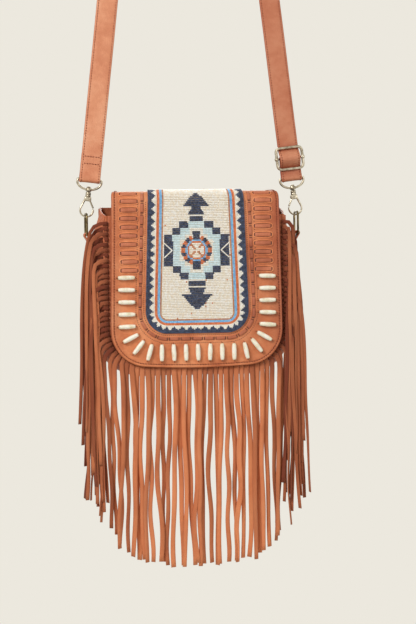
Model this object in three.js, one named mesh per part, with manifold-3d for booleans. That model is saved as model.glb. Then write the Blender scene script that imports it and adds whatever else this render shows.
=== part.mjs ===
import * as THREE from 'three';
import { mergeVertices } from 'three/addons/utils/BufferGeometryUtils.js';
import Module from 'manifold-3d';

const wasm = await Module();
wasm.setup();

// Fringed leather shoulder bag, hanging from its strap.
// Millimetres, +Z up, the front of the bag faces -Y.
// The origin is the underside of the strap at the top of its arch, where the bag is hung.

// Driving dimensions

const TOUCH = 0.3; // gap between pieces that touch
const SAME_POINT = 1e-4; // points nearer than this are one point

// Bag body
const PANEL_WIDTH = 216; // front and back panels, seam to seam
const BODY_HEIGHT = 191; // back rim to bottom seam
const BODY_DEPTH = 52; // outer face of the front panel to outer face of the back panel
const FRONT_RIM_DROP = 11; // front rim below the back rim
const PANEL_CORNER = 46;
const PANEL_THICKNESS = 2;
const SEAM_INSET = 1; // gusset edge inside the panel's edge
const GUSSET_THICKNESS = 2;
const GUSSET_BULGE = 12.5; // how far the gusset swells past its seams
const GUSSET_RIM_BULGE = 3; // the same at the rim
const GUSSET_RIM_HEIGHT = 36; // height in which it swells
const LINING_THICKNESS = 0.8;
const LINING_DROP = 4; // mouth of the lining below the front rim

// Flap
const FLAP_INSET = 5.5; // flap edge inside the panel's edge, each side
const FLAP_TAPER = 3; // each side narrows this much towards the top
const FLAP_RISE = 17.5; // top of the flap above the back rim
const FLAP_LENGTH = 209.5; // top of the flap to its lowest edge
const FLAP_FOLD = 13; // radius of its two bends over the top
const FLAP_CORNER = 43;
const FLAP_BOW = 2; // how far the bottom edge bows down
const FLAP_THICKNESS = 2;
const TURNED_WIDTH = 8; // folded-in edge of the flap leather
const TURNED_THICKNESS = 1.5;
const FLAP_LINING_INSET = 2;

// Magnetic snap
const SNAP_RADIUS = 8;
const SNAP_ABOVE_EDGE = 32; // centre of the snap above the flap's lowest edge
const SNAP_FEMALE_HEIGHT = 2;
const SNAP_MALE_HEIGHT = 1.4;
const SNAP_PLAY = 0.4;
const SNAP_STUD_RADIUS = 3;
const SNAP_STUD_HEIGHT = 1.5;
const SNAP_SOCKET_RADIUS = 4;

// Bead panel on the flap
const BEAD_BORDER = 41; // bare leather beside the panel, each side
const BEAD_BOTTOM_BORDER = 41; // bare leather below the panel
const BEAD_PANEL_THICKNESS = 1.8;
const BEAD_PANEL_TAPER = 2.4; // each side narrows this much more than the flap towards the top
const BEAD_PANEL_CORNER = 26;
const BEAD_PANEL_OVER = 16; // panel's back end behind the front bend

// Bone tube beads
const BONE_COUNT = 23;
const BONE_LENGTH = 20;
const BONE_RADIUS = 2.75;
const BONE_END_RADIUS = 1.9;
const BONE_HOLE_RADIUS = 0.9;
const BONE_TAPER_LENGTH = 4;
const BONE_EDGE = 18.5; // bead centres inside the flap's edge
const BONE_CORNER = 34;
const BONE_TOP = 102; // first and last bead below the top of the flap

// Laces
const LACE_THICKNESS = 1;
const LACE_BARS = 10;
const LACE_BAR_LENGTH = 19;
const LACE_BAR_WIDTH = 5;
const LACE_PITCH = 10.2;
const LACE_EDGE = 19.5; // bar centres inside the flap's edge at its top
const LACE_START = 11; // first bar before the end of the front bend
const RUN_OFFSET = 6.5; // running lace outside the bead panel
const RUN_WIDTH = 4.2;
const RUN_DASHES = 31;
const RUN_GAP = 3; // hidden stretch between two dashes
const RUN_TOP = 16; // start of the running lace below the top of the flap

// Fringe
const TAIL_COUNT = 84;
const TAIL_LENGTH = 255;
const TAIL_WIDTH = 5.6;
const TAIL_THICKNESS = 1.2;
const FRINGE_TOP = 17; // top of the fringe below the back rim
const HEADER_INSIDE = 6; // sewn part of the trim inside the panel's edge
const HEADER_OUTSIDE = 1.5;
const TAIL_ROOT = 3; // stretch in the seam's own direction before a tail falls
const TAIL_FALL = 14; // height in which a side tail turns down
const TAIL_SPREAD_LEAST = 7; // how far out of the seam a side tail falls
const TAIL_SPREAD_MOST = 34;
const TAIL_SIDEWAYS = 0.1; // a tail that leaves this far from straight down turns as it falls
const TAIL_LAYERS = 5;
const TAIL_LAYER_PITCH = 1.6;

// Strap
const STRAP_DROP = 556; // hanging point to the top of the flap
const STRAP_WIDTH = 25;
const STRAP_THICKNESS = 2.4;
const STRAP_LEAN = THREE.MathUtils.degToRad(6.55); // each leg from the vertical
const SKIVED_THICKNESS = 1.2; // thinned end sewn round the slider's bar
const SKIVE_END = 0.4; // part of the slider's half height where the thinned end reaches the bar
const WEAVE_LEAD = 1.6; // half heights of the slider above its bar where the strap starts to bend
const FOLD_LAP = 30; // sewn overlap at the left end
const TWIST_START = 20; // each leg turns a quarter between these distances below the arch
const TWIST_LENGTH = 190;

// Rings and their tabs
const RING_WIRE = 2.6;
const RING_WIDTH = 23.2; // centre to centre of the wire
const RING_HEIGHT = 25.4;
const RING_CORNER = 3;
const RING_SHOULDER = 5; // rounding of the ring's upper corners
const RING_BELOW_RIM = 33.5; // bar of the ring below the back rim
const TAB_STANDOFF = 7.5; // bar of the ring outside the gusset
const TAB_WIDTH = 16;
const TAB_THICKNESS = 1.6;
const TAB_LENGTH = 30;
const TAB_LOOP = 12; // height of the open loop round the ring

// Snap hooks, measured upwards from the lowest point of the hook's wire
const HOOK_WIRE = 2;
const HOOK_PLAY = 1.1; // slack between hook and ring
const HOOK_BEND = 7.8; // radius of the hook's bottom bend
const HEAD_BOTTOM = 18.5;
const HEAD_TOP = 24;
const HEAD_WIDTH = 8;
const HEAD_DEPTH = 6.8;
const BARREL_RADIUS = 3.2;
const BOSS_HEIGHT = 4.4;
const BOSS_RADIUS = 3.4;
const LOOP_BOTTOM = 32.2;
const LOOP_HEIGHT = 12.3;
const LOOP_WIRE = 2.8;
const LOOP_SIDE_SHARE = 0.12; // straight stretch at each side of the loop, per strap width
const LOOP_PLAY = 0.45; // room beside the strap, each side
const POST_RADIUS = 1.3;
const POST_CLEARANCE = 0.35;
const RIVET_RADIUS = 2.4;
const RIVET_HEIGHT = 1.5;
const GATE_PIN_X = 2.3;
const GATE_PIN_Z = 21.2;
const GATE_PIN_RADIUS = 0.8;
const GATE_PIN_CLEARANCE = 0.12;
const GATE_THICKNESS = 2.4;
const GATE_LUG_RADIUS = 1.9;
const GATE_SIDE_PLAY = 0.3;
const NOSE_ANGLE = THREE.MathUtils.degToRad(15); // hook's nose past the half turn

// Slider
const SLIDER_ABOVE_LOOP = 23.7; // slider's bar above the loop's bar
const SLIDER_HEIGHT = 29;
const SLIDER_WIRE = 3.4;
const SLIDER_SIDE_PLAY = 1.6;
const SLIDER_CORNER = 5;
const SLIDER_BAR_RADIUS = 1.2;
const SLIDER_BAR_CLEARANCE = 0.12;
const SLIDER_BAR_PROUD = 0.8; // bar ends outside the frame
const SLIDER_BOSS_RADIUS = 2.6;

// Steps of curves
const ARC_STEPS = 3; // drawn arcs have twice as many
const TURN_STEPS = 8; // half turns of a strip
const WIRE_SIDES = 8;
const WEB_STEPS = 6;
const ROUND_SIDES = 12;

// Places worked out from the driving dimensions

const FLAP_TOP = -STRAP_DROP;
const FLAP_BOTTOM = FLAP_TOP - FLAP_LENGTH;
const BACK_RIM = FLAP_TOP - FLAP_RISE;
const FRONT_RIM = BACK_RIM - FRONT_RIM_DROP;
const BODY_BOTTOM = BACK_RIM - BODY_HEIGHT;
const FRONT_Y = -BODY_DEPTH / 2;
const BACK_Y = BODY_DEPTH / 2;

const SNAP_STACK = TOUCH + SNAP_FEMALE_HEIGHT + SNAP_PLAY + SNAP_MALE_HEIGHT + TOUCH;
const FLAP_LINING_DEPTH = FLAP_THICKNESS + TURNED_THICKNESS + TOUCH;
const FLAP_Y = FRONT_Y - SNAP_STACK - LINING_THICKNESS - FLAP_LINING_DEPTH;
const FLAP_HALF = PANEL_WIDTH / 2 - FLAP_INSET;
const FLAP_TOP_HALF = FLAP_HALF - FLAP_TAPER;

const HEADER_BACK_Y = FRONT_Y + PANEL_THICKNESS + TOUCH + TAIL_THICKNESS;
const HEADER_Y = HEADER_BACK_Y - TAIL_THICKNESS / 2;
const GUSSET_FRONT_Y = HEADER_BACK_Y + TOUCH;
const GUSSET_BACK_Y = BACK_Y - PANEL_THICKNESS - TOUCH;
const GUSSET_SEAM = PANEL_WIDTH / 2 - SEAM_INSET;

const RING_X = GUSSET_SEAM + GUSSET_BULGE + TAB_STANDOFF;
const RING_BAR_Z = BACK_RIM - RING_BELOW_RIM;
const RING_TOP_Z = RING_BAR_Z + RING_HEIGHT;
const HOOK_Z = RING_TOP_Z - (RING_WIRE + HOOK_WIRE) / 2 - HOOK_PLAY;
const LOOP_BAR = LOOP_BOTTOM + LOOP_HEIGHT;
const LOOP_HALF = STRAP_WIDTH / 2 + LOOP_PLAY + LOOP_WIRE / 2;
const LOOP_SIDE = LOOP_SIDE_SHARE * STRAP_WIDTH;

const LAYER_Y = (STRAP_THICKNESS + TOUCH) / 2; // centre of each of two strap layers
const WRAP_RADIUS = LOOP_WIRE / 2 + TOUCH + STRAP_THICKNESS / 2;
const BEHIND_RAIL = SLIDER_WIRE / 2 + TOUCH + STRAP_THICKNESS / 2;
const SLIDER_Y = -LAYER_Y - BEHIND_RAIL;
const SLIDER_Z = LOOP_BAR + SLIDER_ABOVE_LOOP;
const SLIDER_RAIL = (SLIDER_HEIGHT - SLIDER_WIRE) / 2;
const SLIDER_HALF = STRAP_WIDTH / 2 + SLIDER_SIDE_PLAY + SLIDER_WIRE / 2;

const X_AXIS = new THREE.Vector3(1, 0, 0);
const Y_AXIS = new THREE.Vector3(0, 1, 0);
const Z_AXIS = new THREE.Vector3(0, 0, 1);

// Shared helpers

function solid(geometry) {
  const bare = geometry.clone();
  bare.deleteAttribute('normal');
  bare.deleteAttribute('uv');
  const merged = mergeVertices(bare, SAME_POINT);
  return new wasm.Manifold(new wasm.Mesh({
    numProp: 3,
    vertProperties: merged.attributes.position.array,
    triVerts: new Uint32Array(merged.index.array),
  }));
}

function geometryOf(body) {
  const mesh = body.getMesh();
  const geometry = new THREE.BufferGeometry();
  geometry.setAttribute('position', new THREE.BufferAttribute(mesh.vertProperties, 3));
  geometry.setIndex(new THREE.BufferAttribute(mesh.triVerts, 1));
  geometry.computeVertexNormals();
  return geometry;
}

// Turns a closed surface so that its faces point out.
function faceOut(geometry) {
  const index = geometry.index.array;
  const position = geometry.attributes.position;
  const [a, b, c] = [new THREE.Vector3(), new THREE.Vector3(), new THREE.Vector3()];
  let volume = 0;
  for (let i = 0; i < index.length; i += 3) {
    a.fromBufferAttribute(position, index[i]);
    b.fromBufferAttribute(position, index[i + 1]);
    c.fromBufferAttribute(position, index[i + 2]);
    volume += a.dot(b.cross(c));
  }
  if (volume < 0) index.reverse();
  return geometry;
}

// Joins section rings, each a list of points, into a closed body. A closed sweep has no end caps.
function sweep(rings, closed = false) {
  const sides = rings[0].length;
  const last = (rings.length - 1) * sides;
  const spans = closed ? rings.length : rings.length - 1;
  const index = [];
  for (let i = 0; i < spans; i++) {
    const here = i * sides;
    const next = ((i + 1) % rings.length) * sides;
    for (let j = 0; j < sides; j++) {
      const k = (j + 1) % sides;
      index.push(here + j, here + k, next + k, here + j, next + k, next + j);
    }
  }
  for (let j = 1; j < sides - 1 && !closed; j++) {
    index.push(0, j + 1, j, last, last + j, last + j + 1);
  }
  const geometry = new THREE.BufferGeometry();
  const positions = rings.flat().flatMap((point) => point.toArray());
  geometry.setAttribute('position', new THREE.Float32BufferAttribute(positions, 3));
  geometry.setIndex(index);
  return faceOut(geometry);
}

// Four corners of a flat strip's section: half the width and half the thickness as vectors.
function stripRing(centre, acrossHalf, throughHalf) {
  return [[-1, -1], [1, -1], [1, 1], [-1, 1]].map(([across, through]) => centre.clone()
    .addScaledVector(acrossHalf, across)
    .addScaledVector(throughHalf, through));
}

// A round wire along a flat path. The path's points are 2D, and place puts them in space.
function wire(points, radius, place, planeNormal, closed) {
  const path = points.map((point) => place(point));
  const rings = path.map((point, i) => {
    const before = path[closed ? (i + path.length - 1) % path.length : Math.max(i - 1, 0)];
    const after = path[closed ? (i + 1) % path.length : Math.min(i + 1, path.length - 1)];
    const arriving = point.clone().sub(before).normalize();
    const leaving = after.clone().sub(point).normalize();
    const along = arriving.clone().add(leaving).normalize();
    const mitre = Math.max(arriving.dot(along), leaving.dot(along));
    const inPlane = planeNormal.clone().cross(along).multiplyScalar(radius / mitre);
    return Array.from({ length: WIRE_SIDES }, (_, j) => {
      const angle = (j / WIRE_SIDES) * 2 * Math.PI;
      return point.clone()
        .addScaledVector(inPlane, Math.cos(angle))
        .addScaledVector(planeNormal, Math.sin(angle) * radius);
    });
  });
  return sweep(rings, closed);
}

function closedPoints(path) {
  const points = path.getPoints(ARC_STEPS);
  if (points[0].distanceTo(points[points.length - 1]) < SAME_POINT) points.pop();
  return points;
}

const inXZ = (point) => new THREE.Vector3(point.x, 0, point.y);
const inYZ = (point) => new THREE.Vector3(0, point.x, point.y);

function extrude(shape, depth) {
  return new THREE.ExtrudeGeometry(shape, { depth, bevelEnabled: false, curveSegments: ARC_STEPS });
}

// An outline drawn in X and Z, from y0 to y1.
function extrudeAlongY(shape, y0, y1) {
  return extrude(shape, y1 - y0).rotateX(Math.PI / 2).translate(0, y1, 0);
}

// A profile drawn in Y and Z, across the width, centred.
function extrudeAlongX(shape, width) {
  const turn = new THREE.Matrix4().makeBasis(Y_AXIS, Z_AXIS, X_AXIS);
  return extrude(shape, width).applyMatrix4(turn).translate(-width / 2, 0, 0);
}

function cylinderAlong(axis, radius, length, centre) {
  const turn = new THREE.Quaternion().setFromUnitVectors(Y_AXIS, axis);
  return new THREE.CylinderGeometry(radius, radius, length, ROUND_SIDES)
    .applyQuaternion(turn)
    .translate(centre.x, centre.y, centre.z);
}

// A U drawn from its top left, down, round the bottom and up to its top right.
function traceU(path, { half, topHalf = half, top, bottom, corner, bow = 0 }) {
  const low = bottom + bow;
  path.moveTo(-topHalf, top);
  path.lineTo(-half, low + corner);
  path.absarc(-half + corner, low + corner, corner, Math.PI, Math.PI * 1.5, false);
  if (bow > 0) path.quadraticCurveTo(0, bottom - bow, half - corner, low);
  else path.lineTo(half - corner, low);
  path.absarc(half - corner, low + corner, corner, Math.PI * 1.5, Math.PI * 2, false);
  path.lineTo(topHalf, top);
  return path;
}

const uShape = (sizes) => traceU(new THREE.Shape(), sizes);
const uPath = (sizes) => traceU(new THREE.Path(), sizes);

// Outward normal of a path that runs down the left side and up the right side.
const outwardOf = (tangent) => new THREE.Vector2(tangent.y, -tangent.x);

function insetU(sizes, inset) {
  return {
    ...sizes,
    half: sizes.half - inset,
    topHalf: (sizes.topHalf ?? sizes.half) - inset,
    bottom: sizes.bottom + inset,
    corner: sizes.corner - inset,
  };
}

const group = new THREE.Group();

const LEATHER = { roughness: 0.6, metalness: 0 };
const METAL = { roughness: 0.35, metalness: 1 };

function addMesh(parent, name, geometry, color, finish) {
  const mesh = new THREE.Mesh(geometry, new THREE.MeshStandardMaterial({ color, ...finish }));
  mesh.name = name;
  parent.add(mesh);
  return mesh;
}

// Bag body: two panels, the gusset between them and the lining inside

const PANEL_U = { half: PANEL_WIDTH / 2, top: BACK_RIM, bottom: BODY_BOTTOM, corner: PANEL_CORNER };
const SEAM_U = insetU(PANEL_U, SEAM_INSET);

function panel(top, y0, y1) {
  return extrudeAlongY(uShape({ ...PANEL_U, top }), y0, y1);
}

// The gusset follows the seam, swells between the panels and slopes from back rim to front rim.
function gusset() {
  const seam = uPath(SEAM_U).getPoints(ARC_STEPS);
  const full = BACK_RIM - GUSSET_RIM_HEIGHT;
  seam.splice(1, 0, new THREE.Vector2(seam[0].x, full));
  seam.splice(-1, 0, new THREE.Vector2(seam[seam.length - 1].x, full));
  return seam.map((point, i) => {
    const before = seam[Math.max(i - 1, 0)];
    const after = seam[Math.min(i + 1, seam.length - 1)];
    const outward = outwardOf(after.clone().sub(before).normalize());
    const atRim = i === 0 || i === seam.length - 1;
    const bulge = atRim ? GUSSET_RIM_BULGE : GUSSET_BULGE;
    const skin = (inset, j) => {
      const share = j / WEB_STEPS;
      const y = THREE.MathUtils.lerp(GUSSET_FRONT_Y, GUSSET_BACK_Y, share);
      const swell = bulge * 4 * share * (1 - share) - inset;
      const rim = THREE.MathUtils.lerp(FRONT_RIM, BACK_RIM, share);
      return new THREE.Vector3(
        point.x + outward.x * swell,
        y,
        atRim ? rim : point.y + outward.y * swell,
      );
    };
    const steps = Array.from({ length: WEB_STEPS + 1 }, (_, j) => j);
    const outer = steps.map((j) => skin(0, j));
    const inner = steps.reverse().map((j) => skin(GUSSET_THICKNESS, j));
    return [...outer, ...inner];
  });
}

// A ring with a folded-flat section can't be capped as a fan, so its ends are stitched across.
function channel(rings) {
  const sides = rings[0].length;
  const half = sides / 2;
  const body = sweep(rings, true);
  const index = Array.from(body.index.array).filter((_, i, all) => {
    const face = Math.floor(i / 3) * 3;
    const rows = [0, 1, 2].map((k) => Math.floor(all[face + k] / sides));
    return Math.max(...rows) - Math.min(...rows) <= 1;
  });
  const end = (row, flip) => {
    const base = row * sides;
    for (let j = 0; j < half - 1; j++) {
      const [a, b] = [base + j, base + j + 1];
      const [c, d] = [base + sides - 2 - j, base + sides - 1 - j];
      index.push(...(flip ? [a, c, b, a, d, c] : [a, b, c, a, c, d]));
    }
  };
  const turned = body.index.array[0] !== 0;
  end(0, !turned);
  end(rings.length - 1, turned);
  body.setIndex(index);
  return faceOut(body);
}

function lining() {
  const outerU = insetU(SEAM_U, GUSSET_THICKNESS + TOUCH);
  const innerU = insetU(outerU, LINING_THICKNESS);
  const mouth = FRONT_RIM - LINING_DROP;
  const outer = solid(extrudeAlongY(uShape({ ...outerU, top: mouth }), GUSSET_FRONT_Y, GUSSET_BACK_Y));
  const hollow = solid(extrudeAlongY(
    uShape({ ...innerU, top: mouth + LINING_DROP }),
    GUSSET_FRONT_Y + LINING_THICKNESS,
    GUSSET_BACK_Y - LINING_THICKNESS,
  ));
  return geometryOf(outer.subtract(hollow));
}

const TAN = '#be6437';
addMesh(group, 'back_panel', panel(BACK_RIM, BACK_Y - PANEL_THICKNESS, BACK_Y), TAN, LEATHER);
addMesh(group, 'front_panel', panel(FRONT_RIM, FRONT_Y, FRONT_Y + PANEL_THICKNESS), TAN, LEATHER);
addMesh(group, 'gusset', channel(gusset()), TAN, LEATHER);
addMesh(group, 'lining', lining(), '#4a3328', { roughness: 0.9, metalness: 0 });

// Flap: a band that leaves the back rim, bends over the top and hangs in front

const FLAP_U = {
  half: FLAP_HALF,
  topHalf: FLAP_TOP_HALF,
  top: FLAP_TOP + 2 * FLAP_FOLD,
  bottom: FLAP_BOTTOM,
  corner: FLAP_CORNER,
  bow: FLAP_BOW,
};

// One side of the band's profile in Y and Z, at a depth inside the flap's outer face.
function traceBand(path, depth, backEnd) {
  const radius = FLAP_FOLD - depth;
  const bendZ = FLAP_TOP - FLAP_FOLD;
  if (backEnd === undefined) {
    path.moveTo(BACK_Y - depth, BACK_RIM + TOUCH);
    path.absarc(BACK_Y - FLAP_FOLD, bendZ, radius, 0, Math.PI / 2, false);
  } else {
    path.moveTo(backEnd, FLAP_TOP - depth);
  }
  path.absarc(FLAP_Y + FLAP_FOLD, bendZ, radius, Math.PI / 2, Math.PI, false);
  path.lineTo(FLAP_Y + depth, FLAP_BOTTOM - FLAP_FOLD);
  return path;
}

// The band between two depths, cut to an outline.
function flapLayer(depth, thickness, outline, backEnd) {
  const outer = traceBand(new THREE.Path(), depth, backEnd).getPoints(ARC_STEPS);
  const inner = traceBand(new THREE.Path(), depth + thickness, backEnd).getPoints(ARC_STEPS);
  const profile = new THREE.Shape([...outer, ...inner.reverse()]);
  const band = solid(extrudeAlongX(profile, 2 * PANEL_WIDTH));
  return band.intersect(solid(extrudeAlongY(outline, -2 * BODY_DEPTH, 2 * BODY_DEPTH)));
}

// A frame on the flap's outer face: its point, its direction down the front and its outward normal.
const flapFace = traceBand(new THREE.Path(), 0);
const flapFaceLength = flapFace.getLength();
const frontStart = flapFaceLength - (FLAP_TOP - FLAP_BOTTOM);

function onFlap(distance) {
  const share = distance / flapFaceLength;
  const tangent = flapFace.getTangent(share);
  const outward = outwardOf(tangent);
  return { point: inYZ(flapFace.getPoint(share)), along: inYZ(tangent), outward: inYZ(outward) };
}

const LACE_OUT = TOUCH + LACE_THICKNESS / 2;
const LACE_IN = -(FLAP_THICKNESS + TOUCH + LACE_THICKNESS / 2);
const SLIT_DEPTH = 2 * (FLAP_THICKNESS + LACE_THICKNESS);
const LACE_X = FLAP_TOP_HALF - LACE_EDGE;

// A slit through the flap for a lace: its frame, its centre and the lace's width.
function slit(centre, through, across, outward, width) {
  const box = new THREE.BoxGeometry(LACE_THICKNESS + 2 * TOUCH, width + 2 * TOUCH, SLIT_DEPTH);
  const place = new THREE.Matrix4().makeBasis(through, across, outward).setPosition(centre);
  return solid(box.applyMatrix4(place));
}

// A lace wound through the flap: a bar across the front, then behind it to the next bar.
function barLace(centreX) {
  const rings = [];
  const slits = [];
  for (let bar = 0; bar < LACE_BARS; bar++) {
    const { point, along, outward } = onFlap(frontStart - LACE_START + bar * LACE_PITCH);
    const across = along.clone().multiplyScalar(LACE_BAR_WIDTH / 2);
    for (const [side, height] of [[-1, LACE_IN], [-1, LACE_OUT], [1, LACE_OUT], [1, LACE_IN]]) {
      const x = centreX + (side * LACE_BAR_LENGTH) / 2;
      const centre = point.clone().setX(x).addScaledVector(outward, height);
      const lift = Math.sign(height);
      const through = new THREE.Vector3(side, 0, 0).addScaledVector(outward, lift);
      rings.push(stripRing(centre, across, through.multiplyScalar(LACE_THICKNESS / 2)));
      const mouth = point.clone().setX(x);
      if (lift > 0) slits.push(slit(mouth, X_AXIS, outward.clone().cross(X_AXIS), outward, LACE_BAR_WIDTH));
    }
  }
  return { geometry: sweep(rings), slits };
}

const BEAD_U = {
  half: FLAP_HALF - BEAD_BORDER,
  topHalf: FLAP_TOP_HALF - BEAD_BORDER - BEAD_PANEL_TAPER,
  top: FLAP_TOP + 2 * FLAP_FOLD,
  bottom: FLAP_BOTTOM + BEAD_BOTTOM_BORDER,
  corner: BEAD_PANEL_CORNER,
};

// The running lace: dashes in front and short hidden stretches behind, round the bead panel.
function runningLace() {
  const path = uPath({ ...insetU(BEAD_U, -RUN_OFFSET), top: FLAP_TOP - RUN_TOP });
  const length = path.getLength();
  const dash = (length + RUN_GAP) / RUN_DASHES - RUN_GAP;
  const rings = [];
  const slits = [];
  for (let i = 0; i < RUN_DASHES; i++) {
    const start = i * (dash + RUN_GAP);
    for (const [end, height] of [[-1, LACE_IN], [-1, LACE_OUT], [1, LACE_OUT], [1, LACE_IN]]) {
      const share = Math.min((end < 0 ? start : start + dash) / length, 1);
      const flat = path.getPoint(share);
      const along = inXZ(path.getTangent(share));
      const across = along.clone().cross(Y_AXIS);
      const centre = new THREE.Vector3(flat.x, FLAP_Y - height, flat.y);
      const through = along.clone().multiplyScalar(end).sub(Y_AXIS);
      rings.push(stripRing(
        centre,
        across.clone().multiplyScalar(RUN_WIDTH / 2),
        through.multiplyScalar(LACE_THICKNESS / 2),
      ));
      const mouth = centre.clone().setY(FLAP_Y);
      if (height > 0) slits.push(slit(mouth, along, across, Y_AXIS.clone().negate(), RUN_WIDTH));
    }
  }
  return { geometry: sweep(rings), slits };
}

const laces = {
  lace_left: barLace(-LACE_X),
  lace_right: barLace(LACE_X),
  running_lace: runningLace(),
};

function flap() {
  const leather = flapLayer(0, FLAP_THICKNESS, uShape(FLAP_U));
  const inside = insetU(FLAP_U, TURNED_WIDTH);
  const turnedDepth = FLAP_THICKNESS / 2 + TURNED_THICKNESS;
  const turned = flapLayer(FLAP_THICKNESS / 2, turnedDepth, uShape(FLAP_U))
    .subtract(solid(extrudeAlongY(uShape(inside), -2 * BODY_DEPTH, 2 * BODY_DEPTH)));
  const slits = Object.values(laces).flatMap((lace) => lace.slits);
  return geometryOf(leather.add(turned).subtract(wasm.Manifold.union(slits)));
}

addMesh(group, 'flap', flap(), TAN, LEATHER);
for (const [name, lace] of Object.entries(laces)) addMesh(group, name, lace.geometry, '#96503a', LEATHER);

const flapLining = flapLayer(FLAP_LINING_DEPTH, LINING_THICKNESS, uShape(insetU(FLAP_U, FLAP_LINING_INSET)));
addMesh(group, 'flap_lining', geometryOf(flapLining), '#a9754f', { roughness: 0.9, metalness: 0 });

const beadPanel = flapLayer(
  -TOUCH - BEAD_PANEL_THICKNESS,
  BEAD_PANEL_THICKNESS,
  uShape(BEAD_U),
  FLAP_Y + FLAP_FOLD + BEAD_PANEL_OVER,
);
addMesh(group, 'bead_panel', geometryOf(beadPanel), '#e6d6b9', { roughness: 0.45, metalness: 0 });

// Bone beads: tapered tubes round the flap, each square to the edge

function boneBead() {
  const end = BONE_LENGTH / 2;
  const belly = end - BONE_TAPER_LENGTH;
  const profile = [
    [BONE_HOLE_RADIUS, -end],
    [BONE_END_RADIUS, -end],
    [BONE_RADIUS, -belly],
    [BONE_RADIUS, belly],
    [BONE_END_RADIUS, end],
    [BONE_HOLE_RADIUS, end],
    [BONE_HOLE_RADIUS, -end],
  ].map(([radius, height]) => new THREE.Vector2(radius, height));
  const lathe = new THREE.LatheGeometry(profile, WIRE_SIDES);
  lathe.deleteAttribute('uv');
  lathe.deleteAttribute('normal');
  return faceOut(mergeVertices(lathe, SAME_POINT));
}

const bonePath = uPath({
  half: FLAP_HALF - BONE_EDGE,
  top: FLAP_TOP - BONE_TOP,
  bottom: FLAP_BOTTOM + BONE_EDGE,
  corner: BONE_CORNER,
});
for (let i = 0; i < BONE_COUNT; i++) {
  const share = i / (BONE_COUNT - 1);
  const spot = bonePath.getPoint(share);
  const outward = inXZ(outwardOf(bonePath.getTangent(share)));
  const name = `bone_bead_${String(i + 1).padStart(2, '0')}`;
  const bead = addMesh(group, name, boneBead(), '#faf6e1', { roughness: 0.35, metalness: 0 });
  bead.position.set(spot.x, FLAP_Y - TOUCH - BONE_RADIUS, spot.y);
  bead.quaternion.setFromUnitVectors(Y_AXIS, outward);
}

// Magnetic snap: the socket on the front panel and the stud on the flap's lining

const snapZ = FLAP_BOTTOM + SNAP_ABOVE_EDGE;
const disc = (radius, y0, y1) => solid(cylinderAlong(
  Y_AXIS,
  radius,
  y1 - y0,
  new THREE.Vector3(0, (y0 + y1) / 2, snapZ),
));
const femaleFront = FRONT_Y - TOUCH - SNAP_FEMALE_HEIGHT;
const maleFront = femaleFront - SNAP_PLAY;
const socket = disc(SNAP_SOCKET_RADIUS, femaleFront - SNAP_PLAY, femaleFront + SNAP_STUD_HEIGHT);
const snapFemale = disc(SNAP_RADIUS, femaleFront, FRONT_Y - TOUCH).subtract(socket);
const snapMale = disc(SNAP_RADIUS, maleFront - SNAP_MALE_HEIGHT, maleFront)
  .add(disc(SNAP_STUD_RADIUS, maleFront - TOUCH, maleFront + SNAP_STUD_HEIGHT));
addMesh(group, 'snap_female', geometryOf(snapFemale), '#b5a27a', METAL);
addMesh(group, 'snap_male', geometryOf(snapMale), '#b5a27a', METAL);

// Fringe: one trim, its header in the front seam and its tails hanging out of it

const FRINGE_U = { ...PANEL_U, top: BACK_RIM - FRINGE_TOP };

function header() {
  const outer = uPath(insetU(FRINGE_U, -HEADER_OUTSIDE)).getPoints(ARC_STEPS);
  const inner = uPath(insetU(FRINGE_U, HEADER_INSIDE)).getPoints(ARC_STEPS);
  const shape = new THREE.Shape([...outer, ...inner.reverse()]);
  return extrudeAlongY(shape, HEADER_Y - TAIL_THICKNESS / 2, HEADER_BACK_Y);
}

// A tail leaves the seam at right angles, turns down and hangs in its own layer.
function tail(index, path) {
  const share = (index + 0.5) / TAIL_COUNT;
  const seam = path.getPoint(share);
  const tangent = path.getTangent(share);
  const outward = outwardOf(tangent);
  const sideways = Math.abs(outward.x);
  const sideHeight = FRINGE_U.top - FRINGE_U.bottom - FRINGE_U.corner;
  const above = Math.max(0, (seam.y - FRINGE_U.bottom - FRINGE_U.corner) / sideHeight);
  const spread = THREE.MathUtils.lerp(TAIL_SPREAD_LEAST, TAIL_SPREAD_MOST, above);
  const root = seam.clone().addScaledVector(outward, -TAIL_ROOT);
  const exit = seam.clone().addScaledVector(outward, TAIL_ROOT);
  const fall = new THREE.Vector2(
    seam.x + outward.x * spread,
    exit.y - TAIL_FALL * sideways,
  );
  const used = root.distanceTo(exit) + exit.distanceTo(fall);
  const tip = new THREE.Vector2(fall.x, fall.y - (TAIL_LENGTH - used));
  const layerY = HEADER_Y - TAIL_THICKNESS - (index % TAIL_LAYERS) * TAIL_LAYER_PITCH;
  const downward = new THREE.Vector2(0, -1);
  const turning = outward.clone().add(downward).normalize();
  const stations = [
    [root, HEADER_Y, outward],
    [exit, HEADER_Y, outward],
    [fall, layerY, sideways > TAIL_SIDEWAYS ? turning : downward],
    [tip, layerY, downward],
  ];
  const throughHalf = new THREE.Vector3(0, TAIL_THICKNESS / 2, 0);
  const rings = stations
    .filter(([spot], i) => i === 0 || spot.distanceTo(stations[i - 1][0]) > TOUCH)
    .map(([spot, y, direction]) => {
      const acrossHalf = inXZ(outwardOf(direction)).multiplyScalar(TAIL_WIDTH / 2);
      return stripRing(new THREE.Vector3(spot.x, y, spot.y), acrossHalf, throughHalf);
    });
  return solid(sweep(rings));
}

function fringe() {
  const path = uPath(FRINGE_U);
  const tails = Array.from({ length: TAIL_COUNT }, (_, i) => tail(i, path));
  return geometryOf(wasm.Manifold.union([solid(header()), ...tails]));
}

addMesh(group, 'fringe', fringe(), '#c8734e', { roughness: 0.9, metalness: 0 });

// Strap: an arch, two legs that turn a quarter, and their ends

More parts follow.
